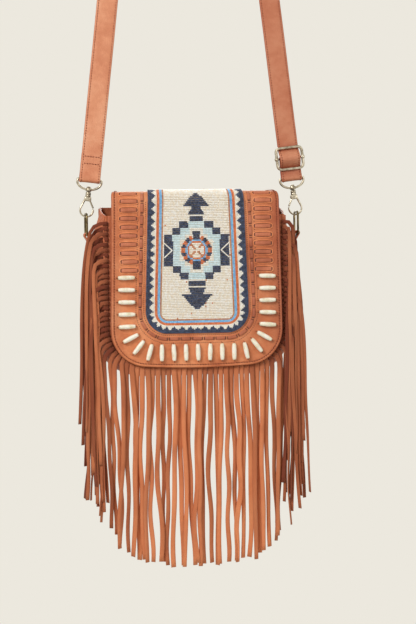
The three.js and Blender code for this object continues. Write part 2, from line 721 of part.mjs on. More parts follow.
const sinLean = Math.sin(STRAP_LEAN);
const cosLean = Math.cos(STRAP_LEAN);
const archRadius = (RING_X * cosLean + HOOK_Z * sinLean - STRAP_THICKNESS / 2) / (1 - sinLean);
const archMiddle = archRadius + STRAP_THICKNESS / 2;
const legTop = new THREE.Vector3(archMiddle * cosLean, -LAYER_Y, archMiddle * sinLean - archRadius);
const legDown = new THREE.Vector3(sinLean, 0, -cosLean);
const legLength = new THREE.Vector3(RING_X, -LAYER_Y, HOOK_Z).sub(legTop).dot(legDown);

const strapRing = (centre, along, face, thickness) => stripRing(
  centre,
  along.clone().cross(face).multiplyScalar(STRAP_WIDTH / 2),
  face.clone().multiplyScalar(thickness / 2),
);

// Half turn of the strap under the loop's bar, from its front to its back.
function turnUnderBar() {
  return Array.from({ length: TURN_STEPS + 1 }, (_, i) => {
    const angle = (i / TURN_STEPS) * Math.PI;
    const y = -WRAP_RADIUS * Math.cos(angle);
    const z = LOOP_BAR - WRAP_RADIUS * Math.sin(angle);
    return [z, y, STRAP_THICKNESS];
  });
}

// Heights above the hook, depths and thicknesses of the strap's centre line at the left end.
function foldedEnd() {
  const opening = LOOP_BAR + 4 * WRAP_RADIUS;
  return [
    [opening + FOLD_LAP, -LAYER_Y, STRAP_THICKNESS],
    [opening, -LAYER_Y, STRAP_THICKNESS],
    ...turnUnderBar(),
    [opening, LAYER_Y, STRAP_THICKNESS],
    [LOOP_BAR + FOLD_LAP, LAYER_Y, STRAP_THICKNESS],
  ];
}

// The same at the right end: over the slider's bar, round the loop and back to the bar.
function threadedEnd() {
  const barWrap = SLIDER_BAR_RADIUS + TOUCH + SKIVED_THICKNESS / 2;
  const overBar = SLIDER_BAR_RADIUS + 2 * TOUCH + SKIVED_THICKNESS + STRAP_THICKNESS / 2;
  const middle = (BEHIND_RAIL - overBar) / 2;
  const swing = (BEHIND_RAIL + overBar) / 2;
  const weave = Array.from({ length: 2 * TURN_STEPS + 1 }, (_, i) => {
    const share = 1 - i / TURN_STEPS;
    const y = SLIDER_Y + middle - swing * Math.cos(share * Math.PI);
    return [SLIDER_Z + share * SLIDER_RAIL, y, STRAP_THICKNESS];
  });
  const roundBar = Array.from({ length: TURN_STEPS + 1 }, (_, i) => {
    const angle = (i / TURN_STEPS) * Math.PI;
    const y = SLIDER_Y + barWrap * Math.cos(angle);
    return [SLIDER_Z + barWrap * Math.sin(angle), y, SKIVED_THICKNESS];
  });
  const skiveStart = SLIDER_Z - SLIDER_RAIL;
  const halfway = SLIDER_Z - SLIDER_RAIL * SKIVE_END;
  return [
    [SLIDER_Z + WEAVE_LEAD * SLIDER_RAIL, -LAYER_Y, STRAP_THICKNESS],
    ...weave,
    ...turnUnderBar(),
    [skiveStart, LAYER_Y, STRAP_THICKNESS],
    [halfway, -LAYER_Y, (STRAP_THICKNESS + SKIVED_THICKNESS) / 2],
    ...roundBar,
  ];
}

// Half of the strap, from the top of the arch down the leg on the +X side to its end.
function strapHalf(end) {
  const rings = [];
  for (let i = 0; i <= TURN_STEPS; i++) {
    const angle = THREE.MathUtils.lerp(Math.PI / 2, STRAP_LEAN, i / TURN_STEPS);
    const face = new THREE.Vector3(Math.cos(angle), 0, Math.sin(angle));
    const along = new THREE.Vector3(Math.sin(angle), 0, -Math.cos(angle));
    const centre = new THREE.Vector3(0, -LAYER_Y, -archRadius).addScaledVector(face, archMiddle);
    rings.push(strapRing(centre, along, face, STRAP_THICKNESS));
  }
  const outward = new THREE.Vector3(cosLean, 0, sinLean);
  for (let i = 0; i <= TURN_STEPS; i++) {
    const share = i / TURN_STEPS;
    const turn = THREE.MathUtils.smoothstep(share, 0, 1) * (Math.PI / 2);
    const centre = legTop.clone().addScaledVector(legDown, TWIST_START + share * TWIST_LENGTH);
    const face = outward.clone().multiplyScalar(Math.cos(turn)).addScaledVector(Y_AXIS, -Math.sin(turn));
    rings.push(strapRing(centre, legDown, face, STRAP_THICKNESS));
  }
  end.forEach(([z, y, thickness], i) => {
    const [zBefore, yBefore] = end[Math.max(i - 1, 0)];
    const [zAfter, yAfter] = end[Math.min(i + 1, end.length - 1)];
    const heading = new THREE.Vector2(zBefore - zAfter, yAfter - yBefore).normalize();
    const along = legDown.clone().multiplyScalar(heading.x).addScaledVector(Y_AXIS, heading.y);
    const face = legDown.clone().multiplyScalar(heading.y).addScaledVector(Y_AXIS, -heading.x);
    const centre = legTop.clone().addScaledVector(legDown, legLength - z).setY(y);
    rings.push(strapRing(centre, along, face, thickness));
  });
  return rings;
}

function strap() {
  const mirrored = (point) => point.clone().setX(-point.x);
  const left = strapHalf(foldedEnd()).map((ring) => ring.map(mirrored));
  const right = strapHalf(threadedEnd());
  return sweep([...left.reverse(), ...right.slice(1)]);
}

addMesh(group, 'strap', strap(), '#d68c69', LEATHER);

// Hardware of one side, drawn for the +X side and mirrored for the other

const NICKEL = '#aaa08c';
const BRASS = '#5f553c';

function ring() {
  const half = RING_WIDTH / 2;
  const shoulderZ = RING_HEIGHT - RING_SHOULDER;
  const path = new THREE.Path();
  path.moveTo(-half + RING_CORNER, 0);
  path.lineTo(half - RING_CORNER, 0);
  path.absarc(half - RING_CORNER, RING_CORNER, RING_CORNER, -Math.PI / 2, 0, false);
  path.absarc(half - RING_SHOULDER, shoulderZ, RING_SHOULDER, 0, Math.PI / 2, false);
  path.absarc(-half + RING_SHOULDER, shoulderZ, RING_SHOULDER, Math.PI / 2, Math.PI, false);
  path.absarc(-half + RING_CORNER, RING_CORNER, RING_CORNER, Math.PI, Math.PI * 1.5, false);
  return wire(closedPoints(path), RING_WIRE / 2, inYZ, X_AXIS, true);
}

// The tab is a strip folded over the ring's bar, its two layers sewn flat on the gusset.
function ringTab() {
  const loop = RING_WIRE / 2 + TOUCH + TAB_THICKNESS / 2;
  const innerX = -TAB_STANDOFF + TOUCH + TAB_THICKNESS / 2;
  const outerX = innerX + TAB_THICKNESS + TOUCH;
  const slant = Math.atan2(loop - outerX, TAB_LOOP);
  const over = Array.from({ length: TURN_STEPS + 1 }, (_, i) => {
    const angle = THREE.MathUtils.lerp(Math.PI, -slant, i / TURN_STEPS);
    return new THREE.Vector2(loop * Math.cos(angle), loop * Math.sin(angle));
  });
  const path = [
    new THREE.Vector2(innerX, -TAB_LENGTH),
    new THREE.Vector2(innerX, -TAB_LOOP),
    ...over,
    new THREE.Vector2(outerX, -TAB_LOOP),
    new THREE.Vector2(outerX, -TAB_LENGTH),
  ];
  const rings = path.map((point, i) => {
    const before = path[Math.max(i - 1, 0)];
    const after = path[Math.min(i + 1, path.length - 1)];
    const face = inXZ(outwardOf(after.clone().sub(before).normalize()));
    const across = Y_AXIS.clone().multiplyScalar(TAB_WIDTH / 2);
    return stripRing(inXZ(point), across, face.multiplyScalar(TAB_THICKNESS / 2));
  });
  return sweep(rings);
}

function hookLoop() {
  const path = new THREE.Path();
  const shoulder = LOOP_BAR - LOOP_SIDE;
  const corner = LOOP_WIRE / 2 + TOUCH;
  path.moveTo(LOOP_HALF, shoulder);
  path.absarc(LOOP_HALF - corner, LOOP_BAR - corner, corner, 0, Math.PI / 2, false);
  path.absarc(-LOOP_HALF + corner, LOOP_BAR - corner, corner, Math.PI / 2, Math.PI, false);
  path.absellipse(0, shoulder, LOOP_HALF, shoulder - LOOP_BOTTOM, Math.PI, Math.PI * 2, false);
  const frame = solid(wire(closedPoints(path), LOOP_WIRE / 2, inXZ, Y_AXIS, true));
  const middle = new THREE.Vector3(0, 0, LOOP_BOTTOM);
  const boss = solid(cylinderAlong(Z_AXIS, BOSS_RADIUS, BOSS_HEIGHT, middle));
  const bore = solid(cylinderAlong(Z_AXIS, POST_RADIUS + POST_CLEARANCE, 2 * BOSS_HEIGHT, middle));
  return geometryOf(frame.add(boss).subtract(bore));
}

// The hook's wire: from the head down the outer side, round the bottom and up to the nose.
function hookWire() {
  const bend = Array.from({ length: TURN_STEPS + 1 }, (_, i) => {
    const angle = THREE.MathUtils.lerp(NOSE_ANGLE, -Math.PI - NOSE_ANGLE, i / TURN_STEPS);
    return new THREE.Vector2(HOOK_BEND * Math.cos(angle), HOOK_BEND * (1 + Math.sin(angle)));
  });
  const start = new THREE.Vector2(HEAD_WIDTH / 2 - HOOK_WIRE / 2, (HEAD_BOTTOM + HEAD_TOP) / 2);
  return wire([start, ...bend], HOOK_WIRE / 2, inXZ, Y_AXIS, false);
}

const gatePinAt = new THREE.Vector3(-GATE_PIN_X, 0, GATE_PIN_Z);

function hook() {
  const bossTop = LOOP_BOTTOM + BOSS_HEIGHT / 2;
  const barrelTop = LOOP_BOTTOM - BOSS_HEIGHT / 2 - TOUCH;
  const upright = (radius, z0, z1) => solid(cylinderAlong(
    Z_AXIS,
    radius,
    z1 - z0,
    new THREE.Vector3(0, 0, (z0 + z1) / 2),
  ));
  const head = solid(new THREE.BoxGeometry(HEAD_WIDTH, HEAD_DEPTH, HEAD_TOP - HEAD_BOTTOM)
    .translate(0, 0, (HEAD_TOP + HEAD_BOTTOM) / 2));
  const slotWidth = GATE_THICKNESS + 2 * GATE_SIDE_PLAY;
  const slotTop = GATE_PIN_Z + GATE_LUG_RADIUS + TOUCH;
  const slotRight = -GATE_PIN_X + GATE_LUG_RADIUS + TOUCH;
  const slotLeft = -HEAD_WIDTH;
  const slotBottom = HEAD_BOTTOM - HOOK_WIRE;
  const slot = solid(new THREE.BoxGeometry(slotRight - slotLeft, slotWidth, slotTop - slotBottom)
    .translate((slotRight + slotLeft) / 2, 0, (slotTop + slotBottom) / 2));
  const pinHole = solid(cylinderAlong(
    Y_AXIS,
    GATE_PIN_RADIUS + GATE_PIN_CLEARANCE,
    2 * HEAD_DEPTH,
    gatePinAt,
  ));
  return geometryOf(solid(hookWire())
    .add(head)
    .add(upright(BARREL_RADIUS, HEAD_TOP - TOUCH, barrelTop))
    .add(upright(POST_RADIUS, barrelTop - TOUCH, bossTop + TOUCH + RIVET_HEIGHT / 2))
    .add(upright(RIVET_RADIUS, bossTop + TOUCH, bossTop + TOUCH + RIVET_HEIGHT))
    .subtract(slot)
    .subtract(pinHole));
}

// The gate reaches from its pin down to the hook's nose.
function gate() {
  const nose = new THREE.Vector2(
    -HOOK_BEND * Math.cos(NOSE_ANGLE),
    HOOK_BEND * (1 + Math.sin(NOSE_ANGLE)) + TOUCH + GATE_THICKNESS / 4,
  );
  const pin = new THREE.Vector2(gatePinAt.x, gatePinAt.z);
  const rings = [pin, nose].map((point) => stripRing(
    inXZ(point),
    new THREE.Vector3(GATE_THICKNESS / 2, 0, 0),
    new THREE.Vector3(0, GATE_THICKNESS / 2, 0),
  ));
  const lug = solid(cylinderAlong(Y_AXIS, GATE_LUG_RADIUS, GATE_THICKNESS, gatePinAt));
  const hole = solid(cylinderAlong(
    Y_AXIS,
    GATE_PIN_RADIUS + GATE_PIN_CLEARANCE,
    2 * GATE_THICKNESS,
    gatePinAt,
  ));
  return geometryOf(solid(sweep(rings)).add(lug).subtract(hole));
}

function addSide(side, mirror) {
  const holder = new THREE.Group();
  holder.scale.x = mirror;
  group.add(holder);

  const ringGroup = new THREE.Group();
  ringGroup.position.set(RING_X, 0, RING_BAR_Z);
  holder.add(ringGroup);
  addMesh(ringGroup, `d_ring_${side}`, ring(), BRASS, METAL);
  addMesh(ringGroup, `ring_tab_${side}`, ringTab(), TAN, LEATHER);

  const hookGroup = new THREE.Group();
  hookGroup.position.set(RING_X, 0, HOOK_Z);
  hookGroup.rotation.y = -STRAP_LEAN;
  holder.add(hookGroup);
  const pin = cylinderAlong(Y_AXIS, GATE_PIN_RADIUS, HEAD_DEPTH, gatePinAt);
  addMesh(hookGroup, `hook_loop_${side}`, hookLoop(), NICKEL, METAL);
  addMesh(hookGroup, `hook_${side}`, hook(), NICKEL, METAL);
  addMesh(hookGroup, `gate_${side}`, gate(), NICKEL, METAL);
  addMesh(hookGroup, `gate_pin_${side}`, pin, NICKEL, METAL);
  return hookGroup;
}

// Slider on the right leg: a wire frame with a bar riveted across it

function sliderFrame() {
  const path = new THREE.Path();
  const cornerX = SLIDER_HALF - SLIDER_CORNER;
  const cornerZ = SLIDER_RAIL - SLIDER_CORNER;
  path.moveTo(SLIDER_HALF, -cornerZ);
  path.absarc(cornerX, cornerZ, SLIDER_CORNER, 0, Math.PI / 2, false);
  path.absarc(-cornerX, cornerZ, SLIDER_CORNER, Math.PI / 2, Math.PI, false);
  path.absarc(-cornerX, -cornerZ, SLIDER_CORNER, Math.PI, Math.PI * 1.5, false);
  path.absarc(cornerX, -cornerZ, SLIDER_CORNER, Math.PI * 1.5, Math.PI * 2, false);
  let frame = solid(wire(closedPoints(path), SLIDER_WIRE / 2, inXZ, Y_AXIS, true));
  for (const end of [-1, 1]) {
    const spot = new THREE.Vector3(end * SLIDER_HALF, 0, 0);
    frame = frame.add(solid(cylinderAlong(X_AXIS, SLIDER_BOSS_RADIUS, SLIDER_WIRE, spot)));
  }
  const bore = SLIDER_BAR_RADIUS + SLIDER_BAR_CLEARANCE;
  const hole = cylinderAlong(X_AXIS, bore, 4 * SLIDER_HALF, new THREE.Vector3());
  return geometryOf(frame.subtract(solid(hole)));
}

function sliderBar() {
  const length = 2 * SLIDER_HALF + SLIDER_WIRE + 2 * SLIDER_BAR_PROUD;
  return cylinderAlong(X_AXIS, SLIDER_BAR_RADIUS, length, new THREE.Vector3());
}

const hookGroups = { left: addSide('left', -1), right: addSide('right', 1) };
const sliderGroup = new THREE.Group();
sliderGroup.position.set(0, SLIDER_Y, SLIDER_Z);
hookGroups.right.add(sliderGroup);
addMesh(sliderGroup, 'slider_frame', sliderFrame(), NICKEL, METAL);
addMesh(sliderGroup, 'slider_bar', sliderBar(), NICKEL, METAL);

export default group;
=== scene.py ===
"""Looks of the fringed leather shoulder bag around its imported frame."""

import math
import random
from types import SimpleNamespace

import bpy
import numpy as np
from mathutils import Matrix, Vector, noise


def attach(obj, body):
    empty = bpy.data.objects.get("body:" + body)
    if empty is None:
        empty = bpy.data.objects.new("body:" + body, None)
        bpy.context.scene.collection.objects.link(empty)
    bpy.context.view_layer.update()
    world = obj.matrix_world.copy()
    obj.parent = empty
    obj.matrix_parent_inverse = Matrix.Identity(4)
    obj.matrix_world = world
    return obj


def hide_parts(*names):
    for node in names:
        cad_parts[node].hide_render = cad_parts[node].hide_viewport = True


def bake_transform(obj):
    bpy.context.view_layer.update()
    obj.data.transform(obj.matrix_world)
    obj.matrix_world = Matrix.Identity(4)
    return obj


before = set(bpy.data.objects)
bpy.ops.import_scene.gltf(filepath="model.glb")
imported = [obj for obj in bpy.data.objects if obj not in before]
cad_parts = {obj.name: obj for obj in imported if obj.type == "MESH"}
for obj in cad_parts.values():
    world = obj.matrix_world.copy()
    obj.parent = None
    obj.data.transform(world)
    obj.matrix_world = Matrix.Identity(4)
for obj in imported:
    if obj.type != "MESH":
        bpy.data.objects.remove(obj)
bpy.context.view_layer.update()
rng = random.Random(11)

MM = 0.001
FORWARDS = Vector((0, -1, 0))
BACKWARDS = Vector((0, 1, 0))


def outline(half, top, bottom, corner, top_half=None, bow=0.0):
    """A U: two sides, round lower corners, and a bottom that may bow down."""
    return dict(half=half, top_half=top_half or half, top=top, bottom=bottom, corner=corner, bow=bow)


# Sizes in millimetres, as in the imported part

BACK_RIM = -573.5
FRONT_RIM = -584.5
BODY_BOTTOM = -764.5
FRONT_Y = -26.0
BACK_Y = 26.0
PANEL_HALF = 108.0
PANEL_U = outline(PANEL_HALF, BACK_RIM, BODY_BOTTOM, 46.0)

FLAP_TOP = -556.0
FLAP_BOTTOM = -765.5
FLAP_Y = -35.0
FLAP_FOLD = 13.0  # radius of its two bends
FLAP_EDGE = 3.5  # thickness at the turned edge
FLAP_LAP = 14.0  # length sewn on the back
FLAP_NARROWING = 0.085  # share it narrows towards the back
BEND_Z = FLAP_TOP - FLAP_FOLD
QUARTER = FLAP_FOLD * math.pi / 2
TOP_RUN = BACK_Y - FLAP_Y - 2 * FLAP_FOLD
OUTLINE_TOP = FLAP_TOP + 2 * FLAP_FOLD
FLAP_U = outline(102.5, OUTLINE_TOP, FLAP_BOTTOM, 43.0, 99.5, 2.0)
BEAD_U = outline(61.5, OUTLINE_TOP, -724.5, 26.0, 56.1)

RING_X = 127.0
RING_BAR_Z = -607.0
HOOK_Z = -585.0
LEAN = math.radians(6.55)  # of the strap's legs
LOOP_BAR = 44.5  # heights above the hook, along the leg
SLIDER_Z = 68.2
SLIDER_Y = -4.55
LAYER_Y = 1.35


def smooth(t):
    t = min(max(t, 0.0), 1.0)
    return t * t * (3 - 2 * t)


def lerp(a, b, t):
    return a + (b - a) * t


def rounded(value, power):
    """Bends a sine or cosine, so that a circle becomes a rounded box."""
    return math.copysign(abs(value) ** power, value)


def both_sides(half):
    """A section that is alike on both sides: (across, height) of one side, carried on mirrored."""
    return half + [(-a, h) for a, h in reversed(half) if a]


def both_ends(half):
    """A profile that is alike at both ends: (radius, height) of one end, carried on mirrored."""
    return half + [(r, -h) for r, h in reversed(half) if h]


def neighbours(points, closed=False):
    """Each point with the one before and the one after; a line's ends stand in for their own."""
    first, last = (points[-1:], points[:1]) if closed else (points[:1], points[-1:])
    return zip(points, first + points, points[1:] + last)


def away_from(tangent):
    """Direction out of a U, where its outline runs along the tangent."""
    return Vector((tangent.z, 0, -tangent.x))


# Materials


def linear(r, g, b):
    """A screen colour, 0 to 255, as the shader takes it."""
    def one(c):
        c /= 255
        return c / 12.92 if c <= 0.04045 else ((c + 0.055) / 1.055) ** 2.4
    return (one(r), one(g), one(b), 1.0)


def linears(colours):
    return [linear(*colour) for colour in colours]


def darker(colour, shares):
    return tuple(c * share for c, share in zip(colour, shares)) + (1.0,)


class Nodes:
    """A material's nodes, with short calls for what the materials share."""

    def __init__(self, name):
        self.material = bpy.data.materials.new(name)
        self.material.use_nodes = True
        self.tree = self.material.node_tree
        self.shader = self.tree.nodes["Principled BSDF"]
        self.coords = self.tree.nodes.new("ShaderNodeTexCoord").outputs["Object"]

    def put(self, value, socket):
        """Links an output to a socket, or sets a plain value on it."""
        if isinstance(value, bpy.types.NodeSocket):
            self.tree.links.new(value, socket)
        else:
            socket.default_value = value

    def fill(self, node, inputs):
        for key, value in inputs.items():
            self.put(value, node.inputs[key.replace("_", " ")])
        return node

    def add(self, kind, **inputs):
        return self.fill(self.tree.nodes.new(kind), inputs)

    def set(self, **inputs):
        self.fill(self.shader, inputs)
        return self.material

    def stretched(self, scale):
        return self.add("ShaderNodeMapping", Vector=self.coords, Scale=scale).outputs["Vector"]

    def noise(self, scale, detail=3.0, rough=0.55, vector=None):
        return self.add("ShaderNodeTexNoise", Vector=vector or self.coords, Scale=scale, Detail=detail,
                        Roughness=rough).outputs["Fac"]

    def wave(self, scale, vector=None, bands="X"):
        node = self.add("ShaderNodeTexWave", Vector=vector or self.coords, Scale=scale)
        node.bands_direction = bands
        return node.outputs["Fac"]

    def ramp(self, value, stops):
        node = self.add("ShaderNodeValToRGB", Fac=value)
        elements = node.color_ramp.elements
        while len(elements) < len(stops):
            elements.new(0.5)
        for element, (place, colour) in zip(elements, stops):
            element.position = place
            element.color = colour
        return node.outputs["Color"]

    def mix(self, share, a, b):
        node = self.tree.nodes.new("ShaderNodeMix")
        node.data_type = "RGBA"
        for index, value in ((0, share), (6, a), (7, b)):
            self.put(value, node.inputs[index])
        return node.outputs[2]

    def tone(self):
        """Painted shade, and on some pieces random tone, stored with the piece's points."""
        node = self.tree.nodes.new("ShaderNodeAttribute")
        node.attribute_name = "tone"
        return node.outputs["Fac"]

    def remap(self, value, low, high, start=0.3, stop=0.7):
        return self.add("ShaderNodeMapRange", Value=value, From_Min=start, From_Max=stop, To_Min=low,
                        To_Max=high).outputs["Result"]

    def bump(self, height, strength, distance, **under):
        return self.add("ShaderNodeBump", Height=height, Strength=strength, Distance=distance,
                        **under).outputs["Normal"]


def leather(name, *colours):
    """Smooth leather: cloudy colour, fine grain and pores. Colours go from dark to light."""
    n = Nodes(name)
    low, base, high = linears(colours)
    colour = n.ramp(n.noise(26.0, 6.0, 0.62), [(0.3, low), (0.5, base), (0.72, high)])
    fine = n.noise(210.0, 4.0, 0.65)
    colour = n.mix(n.remap(fine, 0.0, 0.35), colour, low)
    pores = n.add("ShaderNodeTexVoronoi", Vector=n.coords, Scale=950.0).outputs["Distance"]
    colour = n.mix(n.remap(pores, 0.22, 0.0, 0.0, 0.25), colour, low)
    # painted shade: the point's tone darkens the colour towards a deep colour made from the dark one
    colour = n.mix(n.tone(), colour, darker(low, (0.5, 0.22, 0.14)))
    soft = n.bump(n.noise(75.0, 3.0), 0.45, 0.0014)
    return n.set(Base_Color=colour, Roughness=n.remap(fine, 0.44, 0.64),
                 Normal=n.bump(pores, 0.42, 0.0005, Normal=soft))


def suede(name, *colours):
    """Napped leather: colour brushed along the tails, fibres and sheen."""
    n = Nodes(name)
    low, base, high = linears(colours)
    nap = n.noise(90.0, 4.0, 0.6, n.stretched((1.0, 1.0, 0.12)))
    colour = n.ramp(n.noise(22.0, 4.0, 0.6), [(0.2, low), (0.48, base), (0.8, high)])
    colour = n.mix(n.remap(nap, 0.0, 0.45), colour, high)
    # painted shade: the point's tone darkens the colour towards a deep colour made from the dark one
    colour = n.mix(n.tone(), colour, darker(low, (0.44, 0.3, 0.24)))
    fibre = n.noise(1900.0, 3.0, 0.7, n.stretched((1.0, 1.0, 0.3)))
    return n.set(Base_Color=colour, Roughness=n.remap(fibre, 0.82, 0.96), Normal=n.bump(fibre, 0.5, 0.0006),
                 Sheen_Weight=0.25, Sheen_Roughness=0.5, Sheen_Tint=linear(235, 190, 160))


def cloth(name, *colours):
    n = Nodes(name)
    low, base = linears(colours)
    weave = n.mix(0.5, n.wave(420.0), n.wave(420.0, n.stretched((0.0, 0.0, 1.0)), "Z"))
    return n.set(Base_Color=n.mix(n.noise(40.0, 4.0), low, base), Roughness=n.remap(weave, 0.8, 0.95),
                 Normal=n.bump(weave, 0.4, 0.0005))


def glass_bead(name, *colours):
    n = Nodes(name)
    dark, light = linears(colours)
    cloud = n.noise(600.0, 2.0)
    colour = n.mix(n.remap(cloud, 0.0, 0.25), n.mix(n.tone(), dark, light), dark)
    return n.set(Base_Color=colour, Roughness=n.remap(cloud, 0.26, 0.4), Coat_Weight=0.35)


def metal(name, *colours):
    """Worn plating with tarnish and fine scratches."""
    n = Nodes(name)
    dark, base, light = linears(colours)
    tarnish = n.noise(160.0, 5.0, 0.65)
    scratch = n.noise(900.0, 3.0, 0.6, n.stretched((1.0, 1.0, 0.2)))
    return n.set(Base_Color=n.ramp(tarnish, [(0.3, dark), (0.48, base), (0.7, light)]), Metallic=1.0,
                 Roughness=n.remap(tarnish, 0.42, 0.24), Normal=n.bump(scratch, 0.12, 0.0003))


def bone(name, *colours):
    n = Nodes(name)
    ends, dark, base, light = linears(colours)
    streak = n.noise(130.0, 4.0, 0.6)
    colour = n.mix(n.tone(), n.ramp(streak, [(0.32, dark), (0.5, base), (0.7, light)]), ends)
    return n.set(Base_Color=colour, Roughness=n.remap(streak, 0.32, 0.46), Subsurface_Weight=0.08,
                 Normal=n.bump(streak, 0.1, 0.0004))


def twisted_thread(name, *colours):
    n = Nodes(name)
    twist = n.wave(900.0)
    return n.set(Base_Color=n.mix(twist, *linears(colours)), Roughness=n.remap(twist, 0.6, 0.8),
                 Normal=n.bump(twist, 0.3, 0.0003))


FLAP_LEATHER = leather("flap_leather", (184, 99, 56), (225, 139, 89), (243, 169, 119))
BODY_LEATHER = leather("body_leather", (160, 79, 44), (197, 107, 65), (216, 130, 86))
STRAP_LEATHER = leather("strap_leather", (192, 113, 76), (218, 146, 108), (232, 168, 130))
LACE_LEATHER = leather("lace_leather", (152, 79, 49), (196, 113, 77), (215, 136, 98))
SLOT_SHADE = leather("slot_shade", (62, 26, 16), (88, 40, 24), (106, 52, 32))
FRINGE_SUEDE = suede("fringe_suede", (168, 89, 53), (211, 122, 76), (227, 145, 97))
LINING_CLOTH = cloth("lining_cloth", (54, 38, 30), (84, 62, 48))
FLAP_CLOTH = cloth("flap_lining_cloth", (140, 92, 60), (172, 122, 84))
BEAD_GROUND = cloth("bead_ground", (186, 166, 138), (212, 196, 170))
BONE = bone("bone", (206, 178, 138), (226, 210, 176), (248, 241, 220), (253, 249, 236))
NICKEL = metal("nickel", (112, 102, 84), (178, 168, 148), (226, 219, 202))
BRASS = metal("antique_brass", (52, 44, 28), (104, 92, 64), (150, 136, 100))
SNAP_METAL = metal("snap_metal", (126, 104, 64), (186, 164, 118), (218, 200, 158))
THREAD = twisted_thread("thread", (112, 48, 28), (152, 76, 48))
BEAD_COLOURS = {name: glass_bead("bead_" + name, dark, light) for name, dark, light in (
    ("navy", (24, 32, 56), (70, 86, 120)),
    ("white", (242, 234, 216), (255, 253, 246)),
    ("orange", (212, 106, 54), (246, 150, 94)),
    ("brown", (190, 116, 72), (228, 162, 116)),
    ("sky", (112, 178, 230), (164, 218, 250)),
    ("pale", (208, 230, 233), (236, 249, 250)),
    ("cream", (246, 234, 212), (255, 254, 250)),
)}


# Mesh helpers


def add_object(name, verts, faces, material):
    mesh = bpy.data.meshes.new(name)
    mesh.from_pydata([tuple(c * MM for c in v) for v in verts], [], faces)
    mesh.materials.append(material)
    obj = bpy.data.objects.new(name, mesh)
    bpy.context.scene.collection.objects.link(obj)
    return obj


def piece(name, verts, faces, material, body, replaced=(), tones=None, flat=False):
    """A piece that rides on a body; without one, it is left unattached."""
    obj = add_object(name, verts, faces, material)
    mesh = obj.data
    mesh.update()
    if not flat:
        mesh.polygons.foreach_set("use_smooth", [True] * len(mesh.polygons))
    attribute = mesh.attributes.new("tone", "FLOAT", "POINT")
    if tones is not None:
        attribute.data.foreach_set("value", np.asarray(tones, np.float32))
    if body:
        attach(obj, body)
    if replaced:
        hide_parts(*replaced)
    return obj


class Build:
    """Points and faces of one piece, gathered from several bodies."""

    def __init__(self):
        self.verts, self.faces, self.tones = [], [], []

    def add(self, verts, faces, tone=0.0):
        base = len(self.verts)
        self.verts.extend(tuple(v) for v in verts)
        self.faces.extend(tuple(base + i for i in face) for face in faces)
        self.tones.extend(tone if hasattr(tone, "__len__") else [tone] * len(verts))

    def piece(self, name, material, body, slot, replaced=(), flat=False):
        return piece(name, self.verts, self.faces, material, body, replaced, self.tones, flat)


def sweep_faces(count, sides, closed=False, caps=True):
    """Faces of a body swept through count sections of as many points as it has sides."""
    faces = []
    for i in range(count if closed else count - 1):
        here, there = i * sides, ((i + 1) % count) * sides
        for j in range(sides):
            k = (j + 1) % sides
            faces.append((here + j, here + k, there + k, there + j))
    if caps and not closed:
        faces.append(tuple(reversed(range(sides))))
        faces.append(tuple(range((count - 1) * sides, count * sides)))
    return faces


def tube(points, radius, closed=False, sides=12):
    """A round wire along points. Radius is one number or one for each point."""
    points = [Vector(p) for p in points]
    radii = radius if hasattr(radius, "__len__") else [radius] * len(points)
    tangents = [(after - before).normalized() for _, before, after in neighbours(points, closed)]
    normal = tangents[0].orthogonal().normalized()
    if abs(tangents[0].y) < 0.9:
        normal = BACKWARDS
    verts = []
    for point, tangent, r in zip(points, tangents, radii):
        normal = (normal - tangent * normal.dot(tangent)).normalized()
        side = tangent.cross(normal)
        for j in range(sides):
            angle = 2 * math.pi * j / sides
            verts.append(point + normal * (r * math.cos(angle)) + side * (r * math.sin(angle)))
    return verts, sweep_faces(len(points), sides, closed)


def lathe(profile, centre, axis, sides=24):
    """Turns (radius, height) points round an axis through centre."""
    axis = Vector(axis).normalized()
    a = axis.orthogonal().normalized()
    b = axis.cross(a)
    verts = []
    for radius, height in profile:
        for j in range(sides):
            angle = 2 * math.pi * j / sides
            verts.append(Vector(centre) + axis * height
                         + (a * math.cos(angle) + b * math.sin(angle)) * radius)
    return verts, sweep_faces(len(profile), sides)


def u_half(u, w):
    """Half width of a U outline at a height, above its corners."""
    corner_top = u["bottom"] + u["bow"] + u["corner"]
    share = min(max((u["top"] - w) / (u["top"] - corner_top), 0), 1)
    return lerp(u["top_half"], u["half"], share)


CORNER_STEPS = 12
BOTTOM_STEPS = 22
LEAST_CORNER = 4.0
BOW_FADE = 70.0  # inset at which the bow is gone


def u_ring(u, inset, upper, side_steps=26, corner_steps=CORNER_STEPS, bottom_steps=BOTTOM_STEPS):
    """Points of the outline moved in: down the left side, round the bottom, up the right side."""
    low = u["bottom"] + u["bow"]
    radius = max(u["corner"] - inset, LEAST_CORNER)
    corner_z = low + inset + radius
    corner_x = max(u["half"] - inset - radius, 0.5)
    start = upper[-1]
    heights = list(upper) + [lerp(start, corner_z, (i + 1) / side_steps) for i in range(side_steps)]
    left = []
    for w in heights[:-1]:
        share = 0.0 if w >= start else (start - w) / (start - corner_z)
        left.append((-lerp(max(u_half(u, w) - inset, 0.6), corner_x + radius, share ** 6), w))
    for i in range(corner_steps + 1):
        angle = math.pi / 2 * i / corner_steps
        left.append((-(corner_x + radius * math.cos(angle)), corner_z - radius * math.sin(angle)))
    right = [(-x, w) for x, w in reversed(left)]
    middle = [(lerp(-corner_x, corner_x, i / bottom_steps), low + inset) for i in range(1, bottom_steps)]
    ring = left + middle + right
    if u["bow"]:
        reach = u["half"] - u["corner"]
        bow = u["bow"] * max(0.0, 1 - inset / BOW_FADE)
        ring = [(x, w - (bow * max(0.0, 1 - (x / reach) ** 2) if w < corner_z else 0)) for x, w in ring]
    return ring


def flat_line(ring):
    return [Vector((x, 0, w)) for x, w in ring]


def line_length(line):
    return sum((b - a).length for a, b in zip(line, line[1:]))


def row_faces(rows, count):
    """Faces between each of the rows and the next, where a row has count points."""
    return [(r * count + i, r * count + i + 1, (r + 1) * count + i + 1, (r + 1) * count + i)
            for r in rows for i in range(count - 1)]


